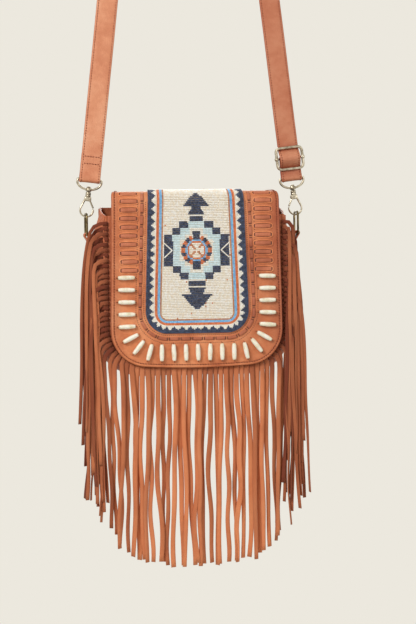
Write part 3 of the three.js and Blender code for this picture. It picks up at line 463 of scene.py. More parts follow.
def middle_faces(count, row, flip):
    """Faces that close the inside of one ring: across between its sides, and one at its bottom."""
    sides = (count - (BOTTOM_STEPS - 1) - 2 * (CORNER_STEPS + 1)) // 2
    first, last = row * count, row * count + count - 1
    middle = [(first + i, first + i + 1, last - i - 1, last - i) for i in range(sides)]
    middle.append(tuple(range(first + sides, last - sides + 1)))
    return [face if flip else face[::-1] for face in middle]


def u_plate(u, rings, upper, place):
    """A closed plate inside a U. Rings are (inset, depth) from the middle of the back, round the
    edge, to the middle of the front."""
    rows = [u_ring(u, inset, upper) for inset, depth in rings]
    count, last = len(rows[0]), len(rows) - 1
    verts, spots = [], []
    for row, (inset, depth) in zip(rows, rings):
        for x, w in row:
            verts.append(place(x, w, depth))
            spots.append((x, w, inset))
    faces = row_faces(range(last), count) + middle_faces(count, 0, False) + middle_faces(count, last, True)
    left = [r * count for r in range(last + 1)]
    right = [r * count + count - 1 for r in reversed(range(last + 1))]
    faces.append(tuple(left + right))
    return verts, faces, spots


def along_line(points, step, start=0.0):
    """Places at even steps along a line of points: (point, tangent)."""
    points = [Vector(p) for p in points]
    out, travelled, target = [], 0.0, start
    for a, b in zip(points, points[1:]):
        length = (b - a).length
        while length > 1e-9 and target <= travelled + length:
            out.append((a.lerp(b, (target - travelled) / length), (b - a).normalized()))
            target += step
        travelled += length
    return out


def facing_places(line, outwards, step, start):
    """Places along a line with the outward direction of the nearest point."""
    places = []
    for point, tangent in along_line(line, step, start):
        nearest = min(range(len(line)), key=lambda i: (line[i] - point).length_squared)
        places.append((point, tangent, outwards[nearest]))
    return places


HOLE_SIDES = 6
STITCH_ARCH = both_sides([(-0.5, -0.5), (-0.32, 0.6), (0.0, 1.0)])


def add_holes(build, places, radius):
    """Needle holes as small dark discs of painted shade: places are (point, tangent, outward)."""
    for point, tangent, outward in places:
        across = tangent.cross(outward)
        low, top = [], []
        for k in range(HOLE_SIDES):
            angle = 2 * math.pi * k / HOLE_SIDES
            flat = point + tangent * (1.3 * radius * math.cos(angle)) + across * (radius * math.sin(angle))
            top.append(flat + outward * 0.06)
            low.append(flat - outward * 0.5)
        build.add(low + top, sweep_faces(2, HOLE_SIDES))


def add_stitches(build, places, length, radius, lift):
    """Short threads: places are (point, tangent, outward)."""
    for point, tangent, outward in places:
        point, tangent, outward = Vector(point), Vector(tangent), Vector(outward)
        run = [point + tangent * (share * length) + outward * (lift * height)
               for share, height in STITCH_ARCH]
        build.add(*tube(run, radius, sides=5))


# The flap's band: a height on the front, carried on over the bend, the top and the back


def on_band(x, w, depth):
    """A place on the band, and the outward direction there."""
    a = w - BEND_Z
    r = FLAP_FOLD - depth
    if a <= 0:
        y, z, n = FLAP_Y + depth, w, (-1.0, 0.0)
    elif a <= QUARTER:
        t = a / FLAP_FOLD
        n = (-math.cos(t), math.sin(t))
        y, z = FLAP_Y + FLAP_FOLD + r * n[0], BEND_Z + r * n[1]
    elif a <= QUARTER + TOP_RUN:
        y, z, n = FLAP_Y + FLAP_FOLD + a - QUARTER, FLAP_TOP - depth, (0.0, 1.0)
    elif a <= 2 * QUARTER + TOP_RUN:
        t = (a - QUARTER - TOP_RUN) / FLAP_FOLD
        n = (math.sin(t), math.cos(t))
        y, z = BACK_Y - FLAP_FOLD + r * n[0], BEND_Z + r * n[1]
    else:
        y, z, n = BACK_Y - depth, BEND_Z - (a - 2 * QUARTER - TOP_RUN), (1.0, 0.0)
    narrow = 1 - FLAP_NARROWING * smooth((a - 6.0) / (QUARTER + TOP_RUN - 6.0))
    return Vector((x * narrow, y, z)), Vector((0, n[0], n[1]))


def band_point(x, w, depth):
    return on_band(x, w, depth)[0]


def ripple(x, w):
    """Soft unevenness of the flap's leather, inwards only."""
    wave = noise.noise((x * 0.021, w * 0.021, 3.1)) + 0.5 * noise.noise((x * 0.06, w * 0.06, 7.7))
    return 0.3 + 0.28 * max(-1.0, min(1.0, wave))


def flap_place(x, w, depth):
    """The flap's leather: uneven on the front and top, thin and lapped onto the back."""
    a = w - BEND_Z - QUARTER - TOP_RUN
    depth = lerp(depth + ripple(x, w), depth * 0.34, smooth(a / QUARTER))
    point, outward = on_band(x, w, depth)
    return point + outward * (1.7 * smooth((a - QUARTER * 0.9) / 9.0))


def heights_to_bend(upper, step):
    """Carries heights on in even steps down to the front bend."""
    upper = list(upper)
    while upper[-1] > BEND_Z + 2.5:
        upper.append(upper[-1] - step)
    return upper + [BEND_Z]


FLAP_STEP = 2.6
FLAP_RINGS = [(inset, FLAP_EDGE) for inset in (96, 70, 40, 20, 8, 3, 1.2)] + [
    (0.4, FLAP_EDGE - 0.4), (0.05, FLAP_EDGE - 1.1), (0.0, 1.7), (0.12, 0.9), (0.5, 0.3), (1.2, -0.05),
    (2.2, -0.2), (3.0, -0.05), (3.6, 0.3), (4.3, 0.0), (5.5, -0.1), (7.5, 0.05), (9.5, 0.25), (13, 0.1),
] + [(inset, 0) for inset in (17, 22, 28, 34, 40, 48, 58, 70, 84, 96)]
FLAP_LINING_RINGS = [(96, 5.0), (60, 5.0), (20, 5.0), (8, 5.0), (4.2, 4.9), (3.4, 4.6), (3.3, 4.3),
                     (3.6, 4.05), (8, 4.0), (30, 4.0), (96, 4.0)]
FLAP_SEAM = 3.6  # stitches inside the edge
RUN_OFFSET = 6.5  # running lace outside the bead panel
HOLE_LINES = (-2.2, -2.0 * RUN_OFFSET + 1.6)  # beside the bead panel and the running lace


def flap_painted_shade(x, w, inset):
    """Painted shade: darker along the edge, the seam groove and the right side, and above the lowest part.
    """
    above = smooth((w + 750.0) / 30.0)
    tone = 0.27 * above * (1 - smooth((inset - 3.0) / 16.0)) + 0.28 * smooth(x / 100.0) + 0.08 * above
    if inset < 1.0:
        tone += 0.3
    elif 3.3 < inset < 4.0:
        tone += 0.25
    return tone


def make_flap():
    back_end = BEND_Z + 2 * QUARTER + TOP_RUN + (BEND_Z - BACK_RIM) + FLAP_LAP
    upper = heights_to_bend([back_end - 4.0 * i for i in range(5)], FLAP_STEP)
    verts, faces, spots = u_plate(FLAP_U, FLAP_RINGS, upper, flap_place)
    flap = piece("flap_leather_skin", verts, faces, FLAP_LEATHER, None, ("flap",),
                 [flap_painted_shade(*spot) for spot in spots])
    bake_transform(flap)
    upper = heights_to_bend([BEND_Z + QUARTER + TOP_RUN * 0.6], FLAP_STEP)
    verts, faces, _ = u_plate(FLAP_U, FLAP_LINING_RINGS, upper, band_point)
    piece("flap_inside", verts, faces, FLAP_CLOTH, "flap", ("flap_lining",))
    stitches, holes = Build(), Build()
    ring = u_ring(FLAP_U, FLAP_SEAM, upper, 40, 24, 40)
    line = [band_point(x, w, 0.25) for x, w in ring]
    outwards = [on_band(x, w, 0)[1] for x, w in ring]
    add_stitches(stitches, facing_places(line, outwards, 3.1, 1.5), 1.5, 0.48, 0.6)
    for gap in HOLE_LINES:
        ring = u_ring(BEAD_U, gap, [BEND_Z + QUARTER, BEND_Z + QUARTER * 0.5, BEND_Z], 40, 24, 40)
        line = [band_point(x, w, ripple(x, w)) for x, w in ring]
        outwards = [on_band(x, w, 0)[1] for x, w in ring]
        add_holes(holes, facing_places(line, outwards, 2.4, 1.0), 0.5)
    holes.piece("needle_holes", SLOT_SHADE, "flap", "lace_leather", flat=True)
    stitches.piece("flap_stitches", THREAD, "flap", "lace_leather")


# Laces: bars down both sides of the flap, and a running lace round the bead panel

LACE_X = 80.0
LACE_BARS = 10
LACE_PITCH = 10.2
LACE_START = 11.0  # first bar above the bend
LACE_HALF = 9.8
LACE_DEPTH = 0.3
SLOT_POINTS = 28
RUN_DASHES = 33
RUN_GAP = 3.0
RUN_TOP = 13.0  # above the bend
RUN_FINE = 2400  # steps along the running lace
BED_REACH = 1.0  # room for the bed of painted shade past the first and last dash
BED_PAST = 0.9  # bed past each end of a dash

# A lace dives into its slots: place along it and height.
DIVE = both_sides([(-1.0, -0.9), (-0.985, 0.15), (-0.94, 0.85), (-0.84, 1.15), (-0.5, 1.3), (0.0, 1.35)])
LACE_SECTION = both_sides([(-1.0, -0.5), (-0.98, 0.35), (-0.8, 0.82), (-0.4, 1.0)])
BED_PLACES = (-1.0, -0.97, -0.6, 0.0, 0.6, 0.97, 1.0)
BED_SECTION = ((-1, -0.6), (-1, 0.33), (1, 0.33), (1, -0.6))


def add_lace(build, run, width, height, end_shade, tone):
    """A domed strip on a surface, with painted shade on its ends where they dive in: run is (point, across,
    outward, rise).
    """
    verts = [point + across * (a * width / 2) + outward * (rise + (h - 1) * height * 0.75)
             for point, across, outward, rise in run for a, h in LACE_SECTION]
    tones = [end_shade if abs(t) > 0.95 else tone for t, rise in DIVE for _ in LACE_SECTION]
    build.add(verts, sweep_faces(len(run), len(LACE_SECTION)), tones)


def slot_outline(x, w, half_x, half_w):
    angles = [2 * math.pi * i / SLOT_POINTS for i in range(SLOT_POINTS)]
    return [(x + rounded(math.cos(angle), 0.5) * half_x, w + rounded(math.sin(angle), 0.55) * half_w)
            for angle in angles]


def make_laces():
    rims, shades = Build(), Build()
    for side, node in ((-1, "lace_left"), (1, "lace_right")):
        bars = Build()
        for bar in range(LACE_BARS):
            w = BEND_Z + LACE_START - bar * LACE_PITCH
            x = side * LACE_X + rng.uniform(-0.5, 0.5)
            tilt = rng.uniform(-0.03, 0.03)
            along = (band_point(x, w + 1, LACE_DEPTH) - band_point(x, w - 1, LACE_DEPTH)).normalized()
            run = []
            for t, rise in DIVE:
                point, outward = on_band(x + t * LACE_HALF, w + tilt * t * LACE_HALF, LACE_DEPTH)
                run.append((point, along, outward, rise))
            add_lace(bars, run, 4.9, 1.5, 0.35, 0.0)
            rim = [band_point(*spot, LACE_DEPTH) for spot in slot_outline(x, w, 11.4, 3.55)]
            rims.add(*tube(rim, 0.75, True, 8))
            # a dark pad of painted shade in the slot's mouth
            pad = slot_outline(x, w, 11.2, 3.3)
            shades.add([band_point(*spot, depth) for depth in (0.8, -0.03) for spot in pad],
                       sweep_faces(2, SLOT_POINTS))
        bars.piece(node + "_bars", LACE_LEATHER, "flap", "lace_leather", (node,))

    run_u = outline(BEAD_U["half"] + RUN_OFFSET, BEAD_U["top"], BEAD_U["bottom"] - RUN_OFFSET,
                    BEAD_U["corner"] + RUN_OFFSET, BEAD_U["top_half"] + RUN_OFFSET)
    line = flat_line(u_ring(run_u, 0, [BEND_Z + RUN_TOP, BEND_Z + RUN_TOP / 2, BEND_Z], 60, 30, 60))
    total = line_length(line)
    fine = along_line(line, total / RUN_FINE)

    def at(s, depth):
        spot, tangent = fine[min(max(int(s / total * RUN_FINE), 0), len(fine) - 1)]
        return *on_band(spot.x, spot.z, depth), tangent.cross(BACKWARDS)

    dash = (total - 2 * BED_REACH + RUN_GAP) / RUN_DASHES - RUN_GAP
    laces = Build()
    for i in range(RUN_DASHES):
        begin = BED_REACH + i * (dash + RUN_GAP)
        run = []
        for t, rise in DIVE:
            point, outward, across = at(begin + dash * (0.5 + 0.5 * t), 0.35)
            run.append((point, across, outward, rise * 1.1))
        add_lace(laces, run, 3.9, 1.5, 0.5, 0.22)
        # a dark bed of painted shade under the dash, showing round it as an outline
        bed = []
        for t in BED_PLACES:
            past = BED_PAST if t > 0 else -BED_PAST if t < 0 else 0
            point, outward, across = at(begin + dash * (0.5 + 0.5 * t) + past, 0.3)
            half = 1.8 if abs(t) < 0.99 else 1.4
            bed.extend(point + across * half * way + outward * height for way, height in BED_SECTION)
        shades.add(bed, sweep_faces(len(BED_PLACES), len(BED_SECTION)))
    laces.piece("running_lace_dashes", LACE_LEATHER, "flap", "lace_leather", ("running_lace",))
    rims.piece("slot_rims", FLAP_LEATHER, "flap", "flap_leather")
    shades.piece("slot_mouths", SLOT_SHADE, "flap", "lace_leather", flat=True)


# Bead panel: small glass beads, coloured by the ornament's shapes. Its places are measured from the
# middle of the medallion.

MEDALLION_Z = -626.6
PALE_STEPS = ((34.7, 9.7), (25.9, 18.4), (18.6, 28.3))  # height and half width of each step
WHITE_STEPS = ((26.0, 8.6), (19.0, 13.8), (13.5, 20.4))
NAVY_BLOCKS = ((10.2, 20.2, 25.6, 34.4), (18.8, 28.6, 17.2, 26.0), (28.3, 39.0, 0.0, 18.2))
CHEVRON = ((38.6, 8.6), (29.2, 0.0), (38.6, -8.6))
FAN_START = 17  # degrees from the upright
FAN_STEP = 16.3
ZIGZAG = 9.7  # length of one zigzag along the edge
ZIGZAG_LINES = 7
BORDER_LINES = ("orange", "orange", "sky", "sky", "brown")
BORDER_PITCH = 1.55
BORDER_SQUASH = 0.12  # share by which the border is narrower at the bottom
BORDER_END = BORDER_PITCH * (ZIGZAG_LINES + len(BORDER_LINES)) + 0.2
BEAD_STEP = 2.4
BEAD_PANEL_RINGS = [(54, 0.1), (30, 0.1), (10, 0.1), (1.0, 0.1), (0.35, 0.0), (0.3, -0.4), (0.7, -0.75),
                    (1.6, -0.85), (10, -0.85), (30, -0.85), (54, -0.85)]
BEAD_SIDES = 6
BEAD_SHAPE = [(t, r, 2 * math.pi * (j + 0.5) / BEAD_SIDES)
              for t, r in ((-0.5, 0.76), (0.0, 1.0), (0.5, 0.76)) for j in range(BEAD_SIDES)]
BEAD_FACES = sweep_faces(3, BEAD_SIDES)
ROW_PITCH = 1.96
BEAD_PITCH = 1.56
STRAY_BEADS = 0.004  # share of brown beads in the cream ground


def stepped(dx, dz, steps):
    return any(abs(dz) <= height and abs(dx) <= half for height, half in steps)


def arrow(dx, dz):
    """Arrow above the medallion: head, shaft and foot."""
    if 51.0 <= dz <= 67.5:
        return abs(dx) <= 15.6 * (1 - ((dz - 51.0) / 16.5)) ** 0.72
    if 42.8 <= dz < 51.0:
        return abs(dx) <= lerp(9.8, 5.0, (dz - 42.8) / 8.2)
    return 34.9 <= dz <= 39.9 and abs(dx) <= 8.4


def rosette(dx, dz):
    """Round middle of the medallion: cross, two rings, two bars and a fan."""
    r = math.hypot(dx, dz)
    if r <= 9.3:
        return "brown" if abs(abs(dx) - abs(dz)) < 1.3 and r > 2.4 else "cream"
    if r <= 10.9:
        return "orange"
    if r <= 13.0:
        return "sky"
    if abs(dx) <= 4.6 and r <= 23.0:
        return "navy"
    if r <= 18.0:
        angle = math.degrees(math.atan2(abs(dx), dz))
        if FAN_START <= angle <= 180 - FAN_START:
            return "orange" if int((angle - FAN_START) / FAN_STEP) % 2 == 0 else "navy"
    return None


def ornament(x, w):
    dx, dz = x, w - MEDALLION_Z
    if arrow(dx, dz) or arrow(dx * 0.88, -dz * 0.965):
        return "navy"
    if 39.9 < abs(dz) < 42.6 and abs(dx) < 8.6:
        return "white"
    if stepped(dx, dz, WHITE_STEPS):
        return rosette(dx, dz) or "white"
    if stepped(dx, dz, PALE_STEPS):
        return "pale"
    for x0, x1, z0, z1 in NAVY_BLOCKS:
        if x0 <= abs(dx) <= x1 and z0 <= abs(dz) <= z1:
            return "navy"
    return "cream"


def edge_run(x, w):
    """How far along the panel's edge a place is."""
    corner, corner_z = BEAD_U["corner"], BEAD_U["bottom"] + BEAD_U["corner"]
    if w > corner_z:
        return w
    corner_x = u_half(BEAD_U, w) - corner
    if abs(x) <= corner_x:
        return corner_z - corner * math.pi / 2 - (corner_x - abs(x))
    return corner_z - corner * math.atan2(corner_z - w, abs(x) - corner_x)


def border(line, s):
    """Colour on a line of the border, counted from the edge; s runs along the edge."""
    wave = abs((s / ZIGZAG) % 1.0 - 0.5) * 2
    if line < ZIGZAG_LINES:
        return "navy" if line < 2.2 + 3.4 * wave else "white"
    return BORDER_LINES[line - ZIGZAG_LINES]


def make_bead_panel():
    upper = heights_to_bend([BEND_Z + QUARTER + 15.5], BEAD_STEP)
    verts, faces, _ = u_plate(BEAD_U, BEAD_PANEL_RINGS, upper, band_point)
    piece("bead_ground", verts, faces, BEAD_GROUND, "flap", ("bead_panel",))
    groups = {name: Build() for name in BEAD_COLOURS}

    def bead(name, x, w, way, radius, length, lift=1.15):
        """One bead on the band; way is its thread's direction across and along the band."""
        centre, outward = on_band(x, w, -lift)
        along = band_point(x + way[0], w + way[1], -lift) - centre
        along = (along - outward * along.dot(outward)).normalized()
        up = outward.cross(along)
        size = radius * rng.uniform(0.93, 1.05)
        verts = [centre + along * (t * length) + outward * (size * r * math.cos(angle))
                 + up * (size * r * math.sin(angle)) for t, r, angle in BEAD_SHAPE]
        groups[name].add(verts, BEAD_FACES, rng.random())

    for line in range(ZIGZAG_LINES + len(BORDER_LINES)):
        inset = BORDER_PITCH * (line + 0.5)
        u = dict(BEAD_U, bottom=BEAD_U["bottom"] - BORDER_SQUASH * inset)
        for spot, tangent in along_line(flat_line(u_ring(u, inset, upper, 60, 24, 60)), 1.5, 0.75):
            name = border(line, edge_run(spot.x, spot.z))
            bead(name, spot.x, spot.z, (tangent.x * 0.5, tangent.z * 0.5), 0.86, 1.46)
    low = BEAD_U["bottom"] + (1 - BORDER_SQUASH) * BORDER_END
    corner = BEAD_U["corner"] - BORDER_END
    for row in range(int((upper[0] - low - 1.4) / ROW_PITCH)):
        w = low + 0.9 + row * ROW_PITCH
        half = u_half(BEAD_U, w) - BORDER_END
        if w < low + corner:
            half = half - corner + math.sqrt(corner ** 2 - (low + corner - w) ** 2)
        count = int(2 * half / BEAD_PITCH)
        for i in range(count):
            x = -half + (i + 0.5) * 2 * half / count + rng.uniform(-0.1, 0.1)
            name = ornament(x, w)
            if name == "cream" and rng.random() < STRAY_BEADS:
                name = "brown"
            bead(name, x, w + rng.uniform(-0.1, 0.1), (0.5, rng.uniform(-0.06, 0.06)), 1.0, 1.52)
    for side in (-1, 1):
        path = [Vector((side * dx, 0, MEDALLION_Z + dz)) for dx, dz in CHEVRON]
        for spot, tangent in along_line(path, 1.35, 0.4):
            bead("white", spot.x, spot.z, (tangent.x * 0.5, tangent.z * 0.5), 0.85, 1.3, 2.0)
    for name, build in groups.items():
        build.piece("beads_" + name, BEAD_COLOURS[name], "flap", "seed_beads")


BONE_U = outline(84.0, -658.0, -747.0, 34.0)
BONE_BEADS = 23
BONE_SIDES = 20
BONE_LIFT = 2.55
BONE_PROFILE = both_ends([(0.6, -9.0), (0.95, -9.95), (1.5, -10.05), (1.95, -9.7), (2.2, -8.6), (2.5, -6.5),
                          (2.72, -3.5), (2.78, 0.0)])
BONE_TONES = [0.75 if abs(h) > 9.2 else 0.08 for r, h in BONE_PROFILE for _ in range(BONE_SIDES)]
BONE_THREAD = ((9.0, 2.5), (10.3, 2.4), (11.3, 1.4), (11.6, -0.3))  # reach and rise of its ends


def make_bone_beads():
    line = flat_line(u_ring(BONE_U, 0, [BONE_U["top"]], 40, 30, 60))
    beads, threads = Build(), Build()
    for point, tangent in along_line(line, line_length(line) / (BONE_BEADS - 1) - 1e-6)[:BONE_BEADS]:
        outward = (away_from(tangent) + tangent * rng.uniform(-0.04, 0.04)).normalized()
        centre = Vector((point.x, FLAP_Y - BONE_LIFT, point.z))
        beads.add(*lathe(BONE_PROFILE, centre, outward, BONE_SIDES), BONE_TONES)
        for end in (-1, 1):
            run = []
            for reach, rise in BONE_THREAD:
                p = centre + outward * (end * reach)
                run.append((p.x, FLAP_Y - rise, p.z))
            threads.add(*tube(run, 0.42, sides=6))
    beads.piece("bone_beads", BONE, "flap", "bone", [f"bone_bead_{i + 1:02d}" for i in range(BONE_BEADS)])
    threads.piece("bone_threads", THREAD, "flap", "lace_leather")


# Body

PANEL_RINGS = [(100, 2.0), (70, 2.0), (40, 2.0), (16, 2.0), (5, 2.0), (1.0, 2.0), (0.3, 1.7), (0.0, 1.0),
               (0.2, 0.4), (0.8, 0.0), (2.0, -0.15), (3.2, 0.1), (4.0, 0.45), (4.8, 0.15), (7, 0.0),
               (11, 0), (17, 0), (25, 0), (35, 0), (46, 0), (58, 0), (72, 0), (86, 0), (100, 0)]
PANEL_SEAM = 4.0
BACK_CROWN = 1.6
WELT_DROP = 1.5  # below the rim

GUSSET_U = outline(107.0, BACK_RIM, BODY_BOTTOM + 1.0, 45.0)
GUSSET_FRONT_Y = -22.2
GUSSET_BACK_Y = 23.7
GUSSET_BULGE = 12.5
GUSSET_RIM_BULGE = 3.0
GUSSET_RIM_HEIGHT = 36.0
GUSSET_THICK = 2.0
GUSSET_STEPS = 18

POUCH_U = outline(104.3, FRONT_RIM - 4.0, BODY_BOTTOM + 3.5, 42.0)
POUCH_OUTSIDE = ((96, -21.6), (50, -21.6), (12, -21.4), (3, -20.6), (0.4, -18.5), (0, -12), (0, 0), (0, 12),
                 (0.4, 19.0), (3, 22.2), (12, 23.0), (50, 23.2), (96, 23.2))  # inset and Y
POUCH_INSIDE = ((96, 22.4), (50, 22.4), (12, 22.2), (3.4, 21.4), (1.4, 18.2), (0.9, 12), (0.9, 0),
                (0.9, -12), (1.4, -17.8), (3.4, -19.8), (12, -20.6), (50, -20.8), (96, -20.8))


def back_place(x, w, depth):
    rise = smooth((PANEL_HALF - abs(x)) / 90.0) * smooth((w - BODY_BOTTOM) / 90.0)
    crown = BACK_CROWN * rise * smooth((BACK_RIM - 10 - w) / 40.0)
    wave = 0.35 * noise.noise((x * 0.02, w * 0.02, 1.7)) if depth < 1.5 else 0.0
    return Vector((x, BACK_Y - depth + crown + wave, w))


def front_place(x, w, depth):
    return Vector((x, FRONT_Y + depth, w))


def make_panels():
    stitches = Build()
    for name, node, top, place, out in (
        ("back_skin", "back_panel", BACK_RIM, back_place, BACKWARDS),
        ("front_skin", "front_panel", FRONT_RIM, front_place, FORWARDS),
    ):
        u = dict(PANEL_U, top=top)
        upper = [top - drop for drop in (0.4, 1.2, 3.0, 6.0, 10.0)]
        verts, faces, spots = u_plate(u, PANEL_RINGS, upper, place)
        # painted shade along the rolled edge at the seam and in the stitch groove
        tones = [0.4 if inset < 0.5 or 3.5 < inset < 4.5 else 0.0 for x, w, inset in spots]
        piece(name, verts, faces, BODY_LEATHER, "bag", (node,), tones)
        line = [place(x, w, 0.3) for x, w in u_ring(u, PANEL_SEAM, [top - 8.0], 50, 24, 40)]
        add_stitches(stitches, [(p, t, out) for p, t in along_line(line, 3.9, 1.0)], 2.8, 0.42, 0.5)
    stitches.piece("panel_stitches", THREAD, "bag", "lace_leather")


def make_gusset():
    ring = u_ring(GUSSET_U, 0, [BACK_RIM], 44, 20, 44)
    count, sides = len(ring), 2 * (GUSSET_STEPS + 1)
    verts, tones = [], []
    for (x, w), (x0, w0), (x1, w1) in neighbours(ring):
        out = away_from(Vector((x1 - x0, 0, w1 - w0)).normalized())
        below = BACK_RIM - w
        bulge = lerp(GUSSET_RIM_BULGE, GUSSET_BULGE, smooth(below / GUSSET_RIM_HEIGHT))
        outer, inner = [], []
        for j in range(GUSSET_STEPS + 1):
            v = j / GUSSET_STEPS
            y = lerp(GUSSET_FRONT_Y, GUSSET_BACK_Y, v)
            crease = noise.noise((x * 0.03, y * 0.05, w * 0.035)) * min(1, 6 * v * (1 - v))
            crease -= 0.9 * math.exp(-((v - 0.5) / 0.05) ** 2) * smooth((150 - below) / 120)
            swell = bulge * (4 * v * (1 - v)) ** 0.85 + crease * smooth(below / 10)
            drop = lerp(FRONT_RIM - BACK_RIM, 0, v) * max(0.0, 1 - below / 60)
            p = Vector((x, y, w + drop))
            outer.append(p + out * swell)
            inner.append(p + out * (swell - GUSSET_THICK))
            # painted shade along the seams with the front and back panels
            tones.append(0.3 if j in (0, GUSSET_STEPS) else 0.0)
        verts.extend(outer + inner[::-1])
        tones.extend(tones[-len(inner):])
    faces = sweep_faces(count, sides, caps=False)
    for row, flip in ((0, False), (count - 1, True)):
        for j in range(GUSSET_STEPS):
            face = [row * sides + k for k in (j, j + 1, sides - 2 - j, sides - 1 - j)]
            faces.append(tuple(face if flip else face[::-1]))
    piece("gusset_skin", verts, faces, BODY_LEATHER, "bag", ("gusset",), tones)
    welts = Build()
    for y, top in ((BACK_Y - 0.6, BACK_RIM - WELT_DROP), (FRONT_Y + 1.0, FRONT_RIM - WELT_DROP)):
        ring = u_ring(dict(PANEL_U, top=top), -0.2, [top], 60, 24, 40)
        welts.add(*tube([(x, y, w) for x, w in ring], 1.5, sides=8), 0.15)
    welts.piece("seam_welts", BODY_LEATHER, "bag", "body_leather")


def make_pouch():
    """The lining: an outer and an inner skin, joined along the rim."""
    rows = [[Vector((x, y, w)) for x, w in u_ring(POUCH_U, inset, [POUCH_U["top"]])]
            for inset, y in POUCH_OUTSIDE + POUCH_INSIDE]
    count, total = len(rows[0]), len(POUCH_OUTSIDE)
    last = 2 * total - 1
    faces = row_faces([r for r in range(last) if r != total - 1], count)
    for row, flip in ((0, False), (total - 1, True), (total, False), (last, True)):
        faces.extend(middle_faces(count, row, flip))
    for r in range(total - 1):
        for end in (0, count - 1):
            face = [row * count + end for row in (r, r + 1, last - 1 - r, last - r)]
            faces.append(tuple(face if end else face[::-1]))
    for row in (0, total - 1):
        first, other = row * count, (last - row) * count
        faces.append((first, first + count - 1, other + count - 1, other))
    piece("pouch", [p for row in rows for p in row], faces, LINING_CLOTH, "bag", ("lining",))


# Fringe

TAILS = 84
TAIL_WIDTH = 5.9
SIDE_TAIL_WIDTH = 4.7
TAIL_STEPS = 120
TAIL_STATIONS = 30
TAIL_Y = -28.6
TAIL_INSET = 3.6  # start of the tails inside the seam
TAIL_SECTION = both_sides([(-1, 0.35), (-0.45, 0.55)]) + both_sides([(1, -0.35), (0.45, -0.55)])
LAYER_STEP = 1.35
KINK_SEED = 31
FRINGE_U = dict(PANEL_U, top=BACK_RIM - 17.0)
SIDE_LOW = FRINGE_U["bottom"] + FRINGE_U["corner"]
SIDE_HEIGHT = FRINGE_U["top"] - SIDE_LOW
HEADER_Y = -23.1
HEADER_SECTION = ((6.0, -0.5), (-1.5, -0.5), (-1.5, 0.5), (6.0, 0.5))  # inset and depth

# How far the side tails stand out from the seam, by their height on it (1 is the top)
SPREAD_LEFT = ((-0.2, 3), (0, 8), (0.07, 14), (0.13, 17), (0.18, 22), (0.4, 21), (0.47, 15), (0.58, 18),
               (0.73, 24), (0.79, 27), (0.94, 30), (1.0, 33))
SPREAD_RIGHT = ((-0.2, 8), (-0.05, 18), (0.02, 16), (0.18, 10), (0.27, 20), (0.31, 28), (0.37, 19),
                (0.54, 26), (0.6, 17), (0.84, 20), (0.92, 20), (1.0, 14))
RIGHT_SHARES = (0.05, 0.75, 0.4, 1.0, 0.2, 0.58)  # of that spread, tail after tail

kinks = random.Random(KINK_SEED)


def between(points, at):
    for (a0, b0), (a1, b1) in zip(points, points[1:]):
        if at <= a1:
            return lerp(b0, b1, min(max((at - a0) / (a1 - a0), 0.0), 1.0))
    return points[-1][1]


def draw_tail(i, seam, out):
    """Draws the hang, twist, shade and width of one tail."""
    tail = SimpleNamespace()
    right = out.x > 0
    tail.sideways = sideways = smooth((abs(out.x) - 0.35) / 0.6)
    above = (seam.z - SIDE_LOW) / SIDE_HEIGHT
    if right:
        share = RIGHT_SHARES[i % len(RIGHT_SHARES)] + rng.uniform(-0.08, 0.08)
    else:
        share = rng.uniform(0.82, 1.0) if i % 2 == 0 or above > 0.8 else rng.uniform(0.2, 0.9)
    reach = between(SPREAD_RIGHT if right else SPREAD_LEFT, above) * share
    turn_length = lerp(3.0 if right else 11.0, 22.0, share)
    tail.spread = (reach - 0.4 * (8.0 + turn_length)) * sideways * (1 if right else -1)
    tail.bend_length = 8.0 + turn_length * sideways
    long_share = sideways * smooth(above / 0.3)
    tail.length = lerp(240.0 - 0.0018 * seam.x ** 2, 250.0, long_share) + rng.uniform(-3, 3)
    tail.lean = rng.uniform(-4, 4) if sideways < 0.5 else rng.uniform(-8, 8)
    tail.wave = rng.uniform(-2.6, 2.6)
    tail.beat = rng.uniform(3.5, 7.0)
    tail.kink = kinks.uniform(0.3, 1.5) * (1 - 0.5 * sideways)
    tail.kink_beat = kinks.uniform(11.0, 19.0)
    tail.phase = rng.uniform(0, 6.28)
    tail.layer = HEADER_Y - 1.4 - (i * 2 % 5) * LAYER_STEP - rng.uniform(0, 0.8)
    behind = sideways * smooth((reach - 13.0) / 8.0) if i % 5 in (1, 3) else 0.0
    tail.layer += behind * rng.uniform(8.0, 20.0)
    tail.turn = rng.uniform(-0.9, 0.9) * lerp(0.8, 1.4, sideways)
    tail.curl = rng.uniform(0.1, 0.4) * rng.choice((-1, 1))
    # random tone, with painted shade on the sideways tails, more on the right, and on tails hung further
    # back
    tail.tone = rng.uniform(0.0, 0.24) + (lerp(0.16, 0.4, sideways) if i % 4 == 0 else 0.0)
    tail.tone += (0.47 if right else 0.3) * sideways + 0.5 * behind
    tail.width = lerp(TAIL_WIDTH, SIDE_TAIL_WIDTH, sideways) * rng.uniform(0.9, 1.06)
    return tail


def tail_stations(tail, seam, out):
    """Middle line of a tail: out from the seam, then over and down."""
    place = Vector((seam.x, TAIL_Y, seam.z)) - out * TAIL_INSET
    length = tail.length
    step = length / TAIL_STEPS
    centres = []
    for k in range(TAIL_STEPS + 1):
        centres.append(place)
        s = k * step
        t = s / length
        outward = tail.spread * math.exp(-s / 40.0) / 40.0
        lateral = tail.lean * 2 * t / length
        lateral += tail.wave * math.cos(tail.phase + tail.beat * t) * tail.beat / length
        kink = tail.kink * smooth(t / 0.3) * math.cos(2 * tail.phase + tail.kink_beat * t)
        lateral += kink * tail.kink_beat / length
        down = Vector((outward + lateral, 0, -1.0)).normalized()
        direction = out.lerp(down, smooth(s / tail.bend_length)).normalized()
        goal = tail.layer + 1.6 * math.sin(tail.phase + 3.0 * t) * t
        direction = (direction + Vector((0, (goal - place.y) / 26.0, 0))).normalized()
        place = place + direction * step
    return centres[::TAIL_STEPS // TAIL_STATIONS]


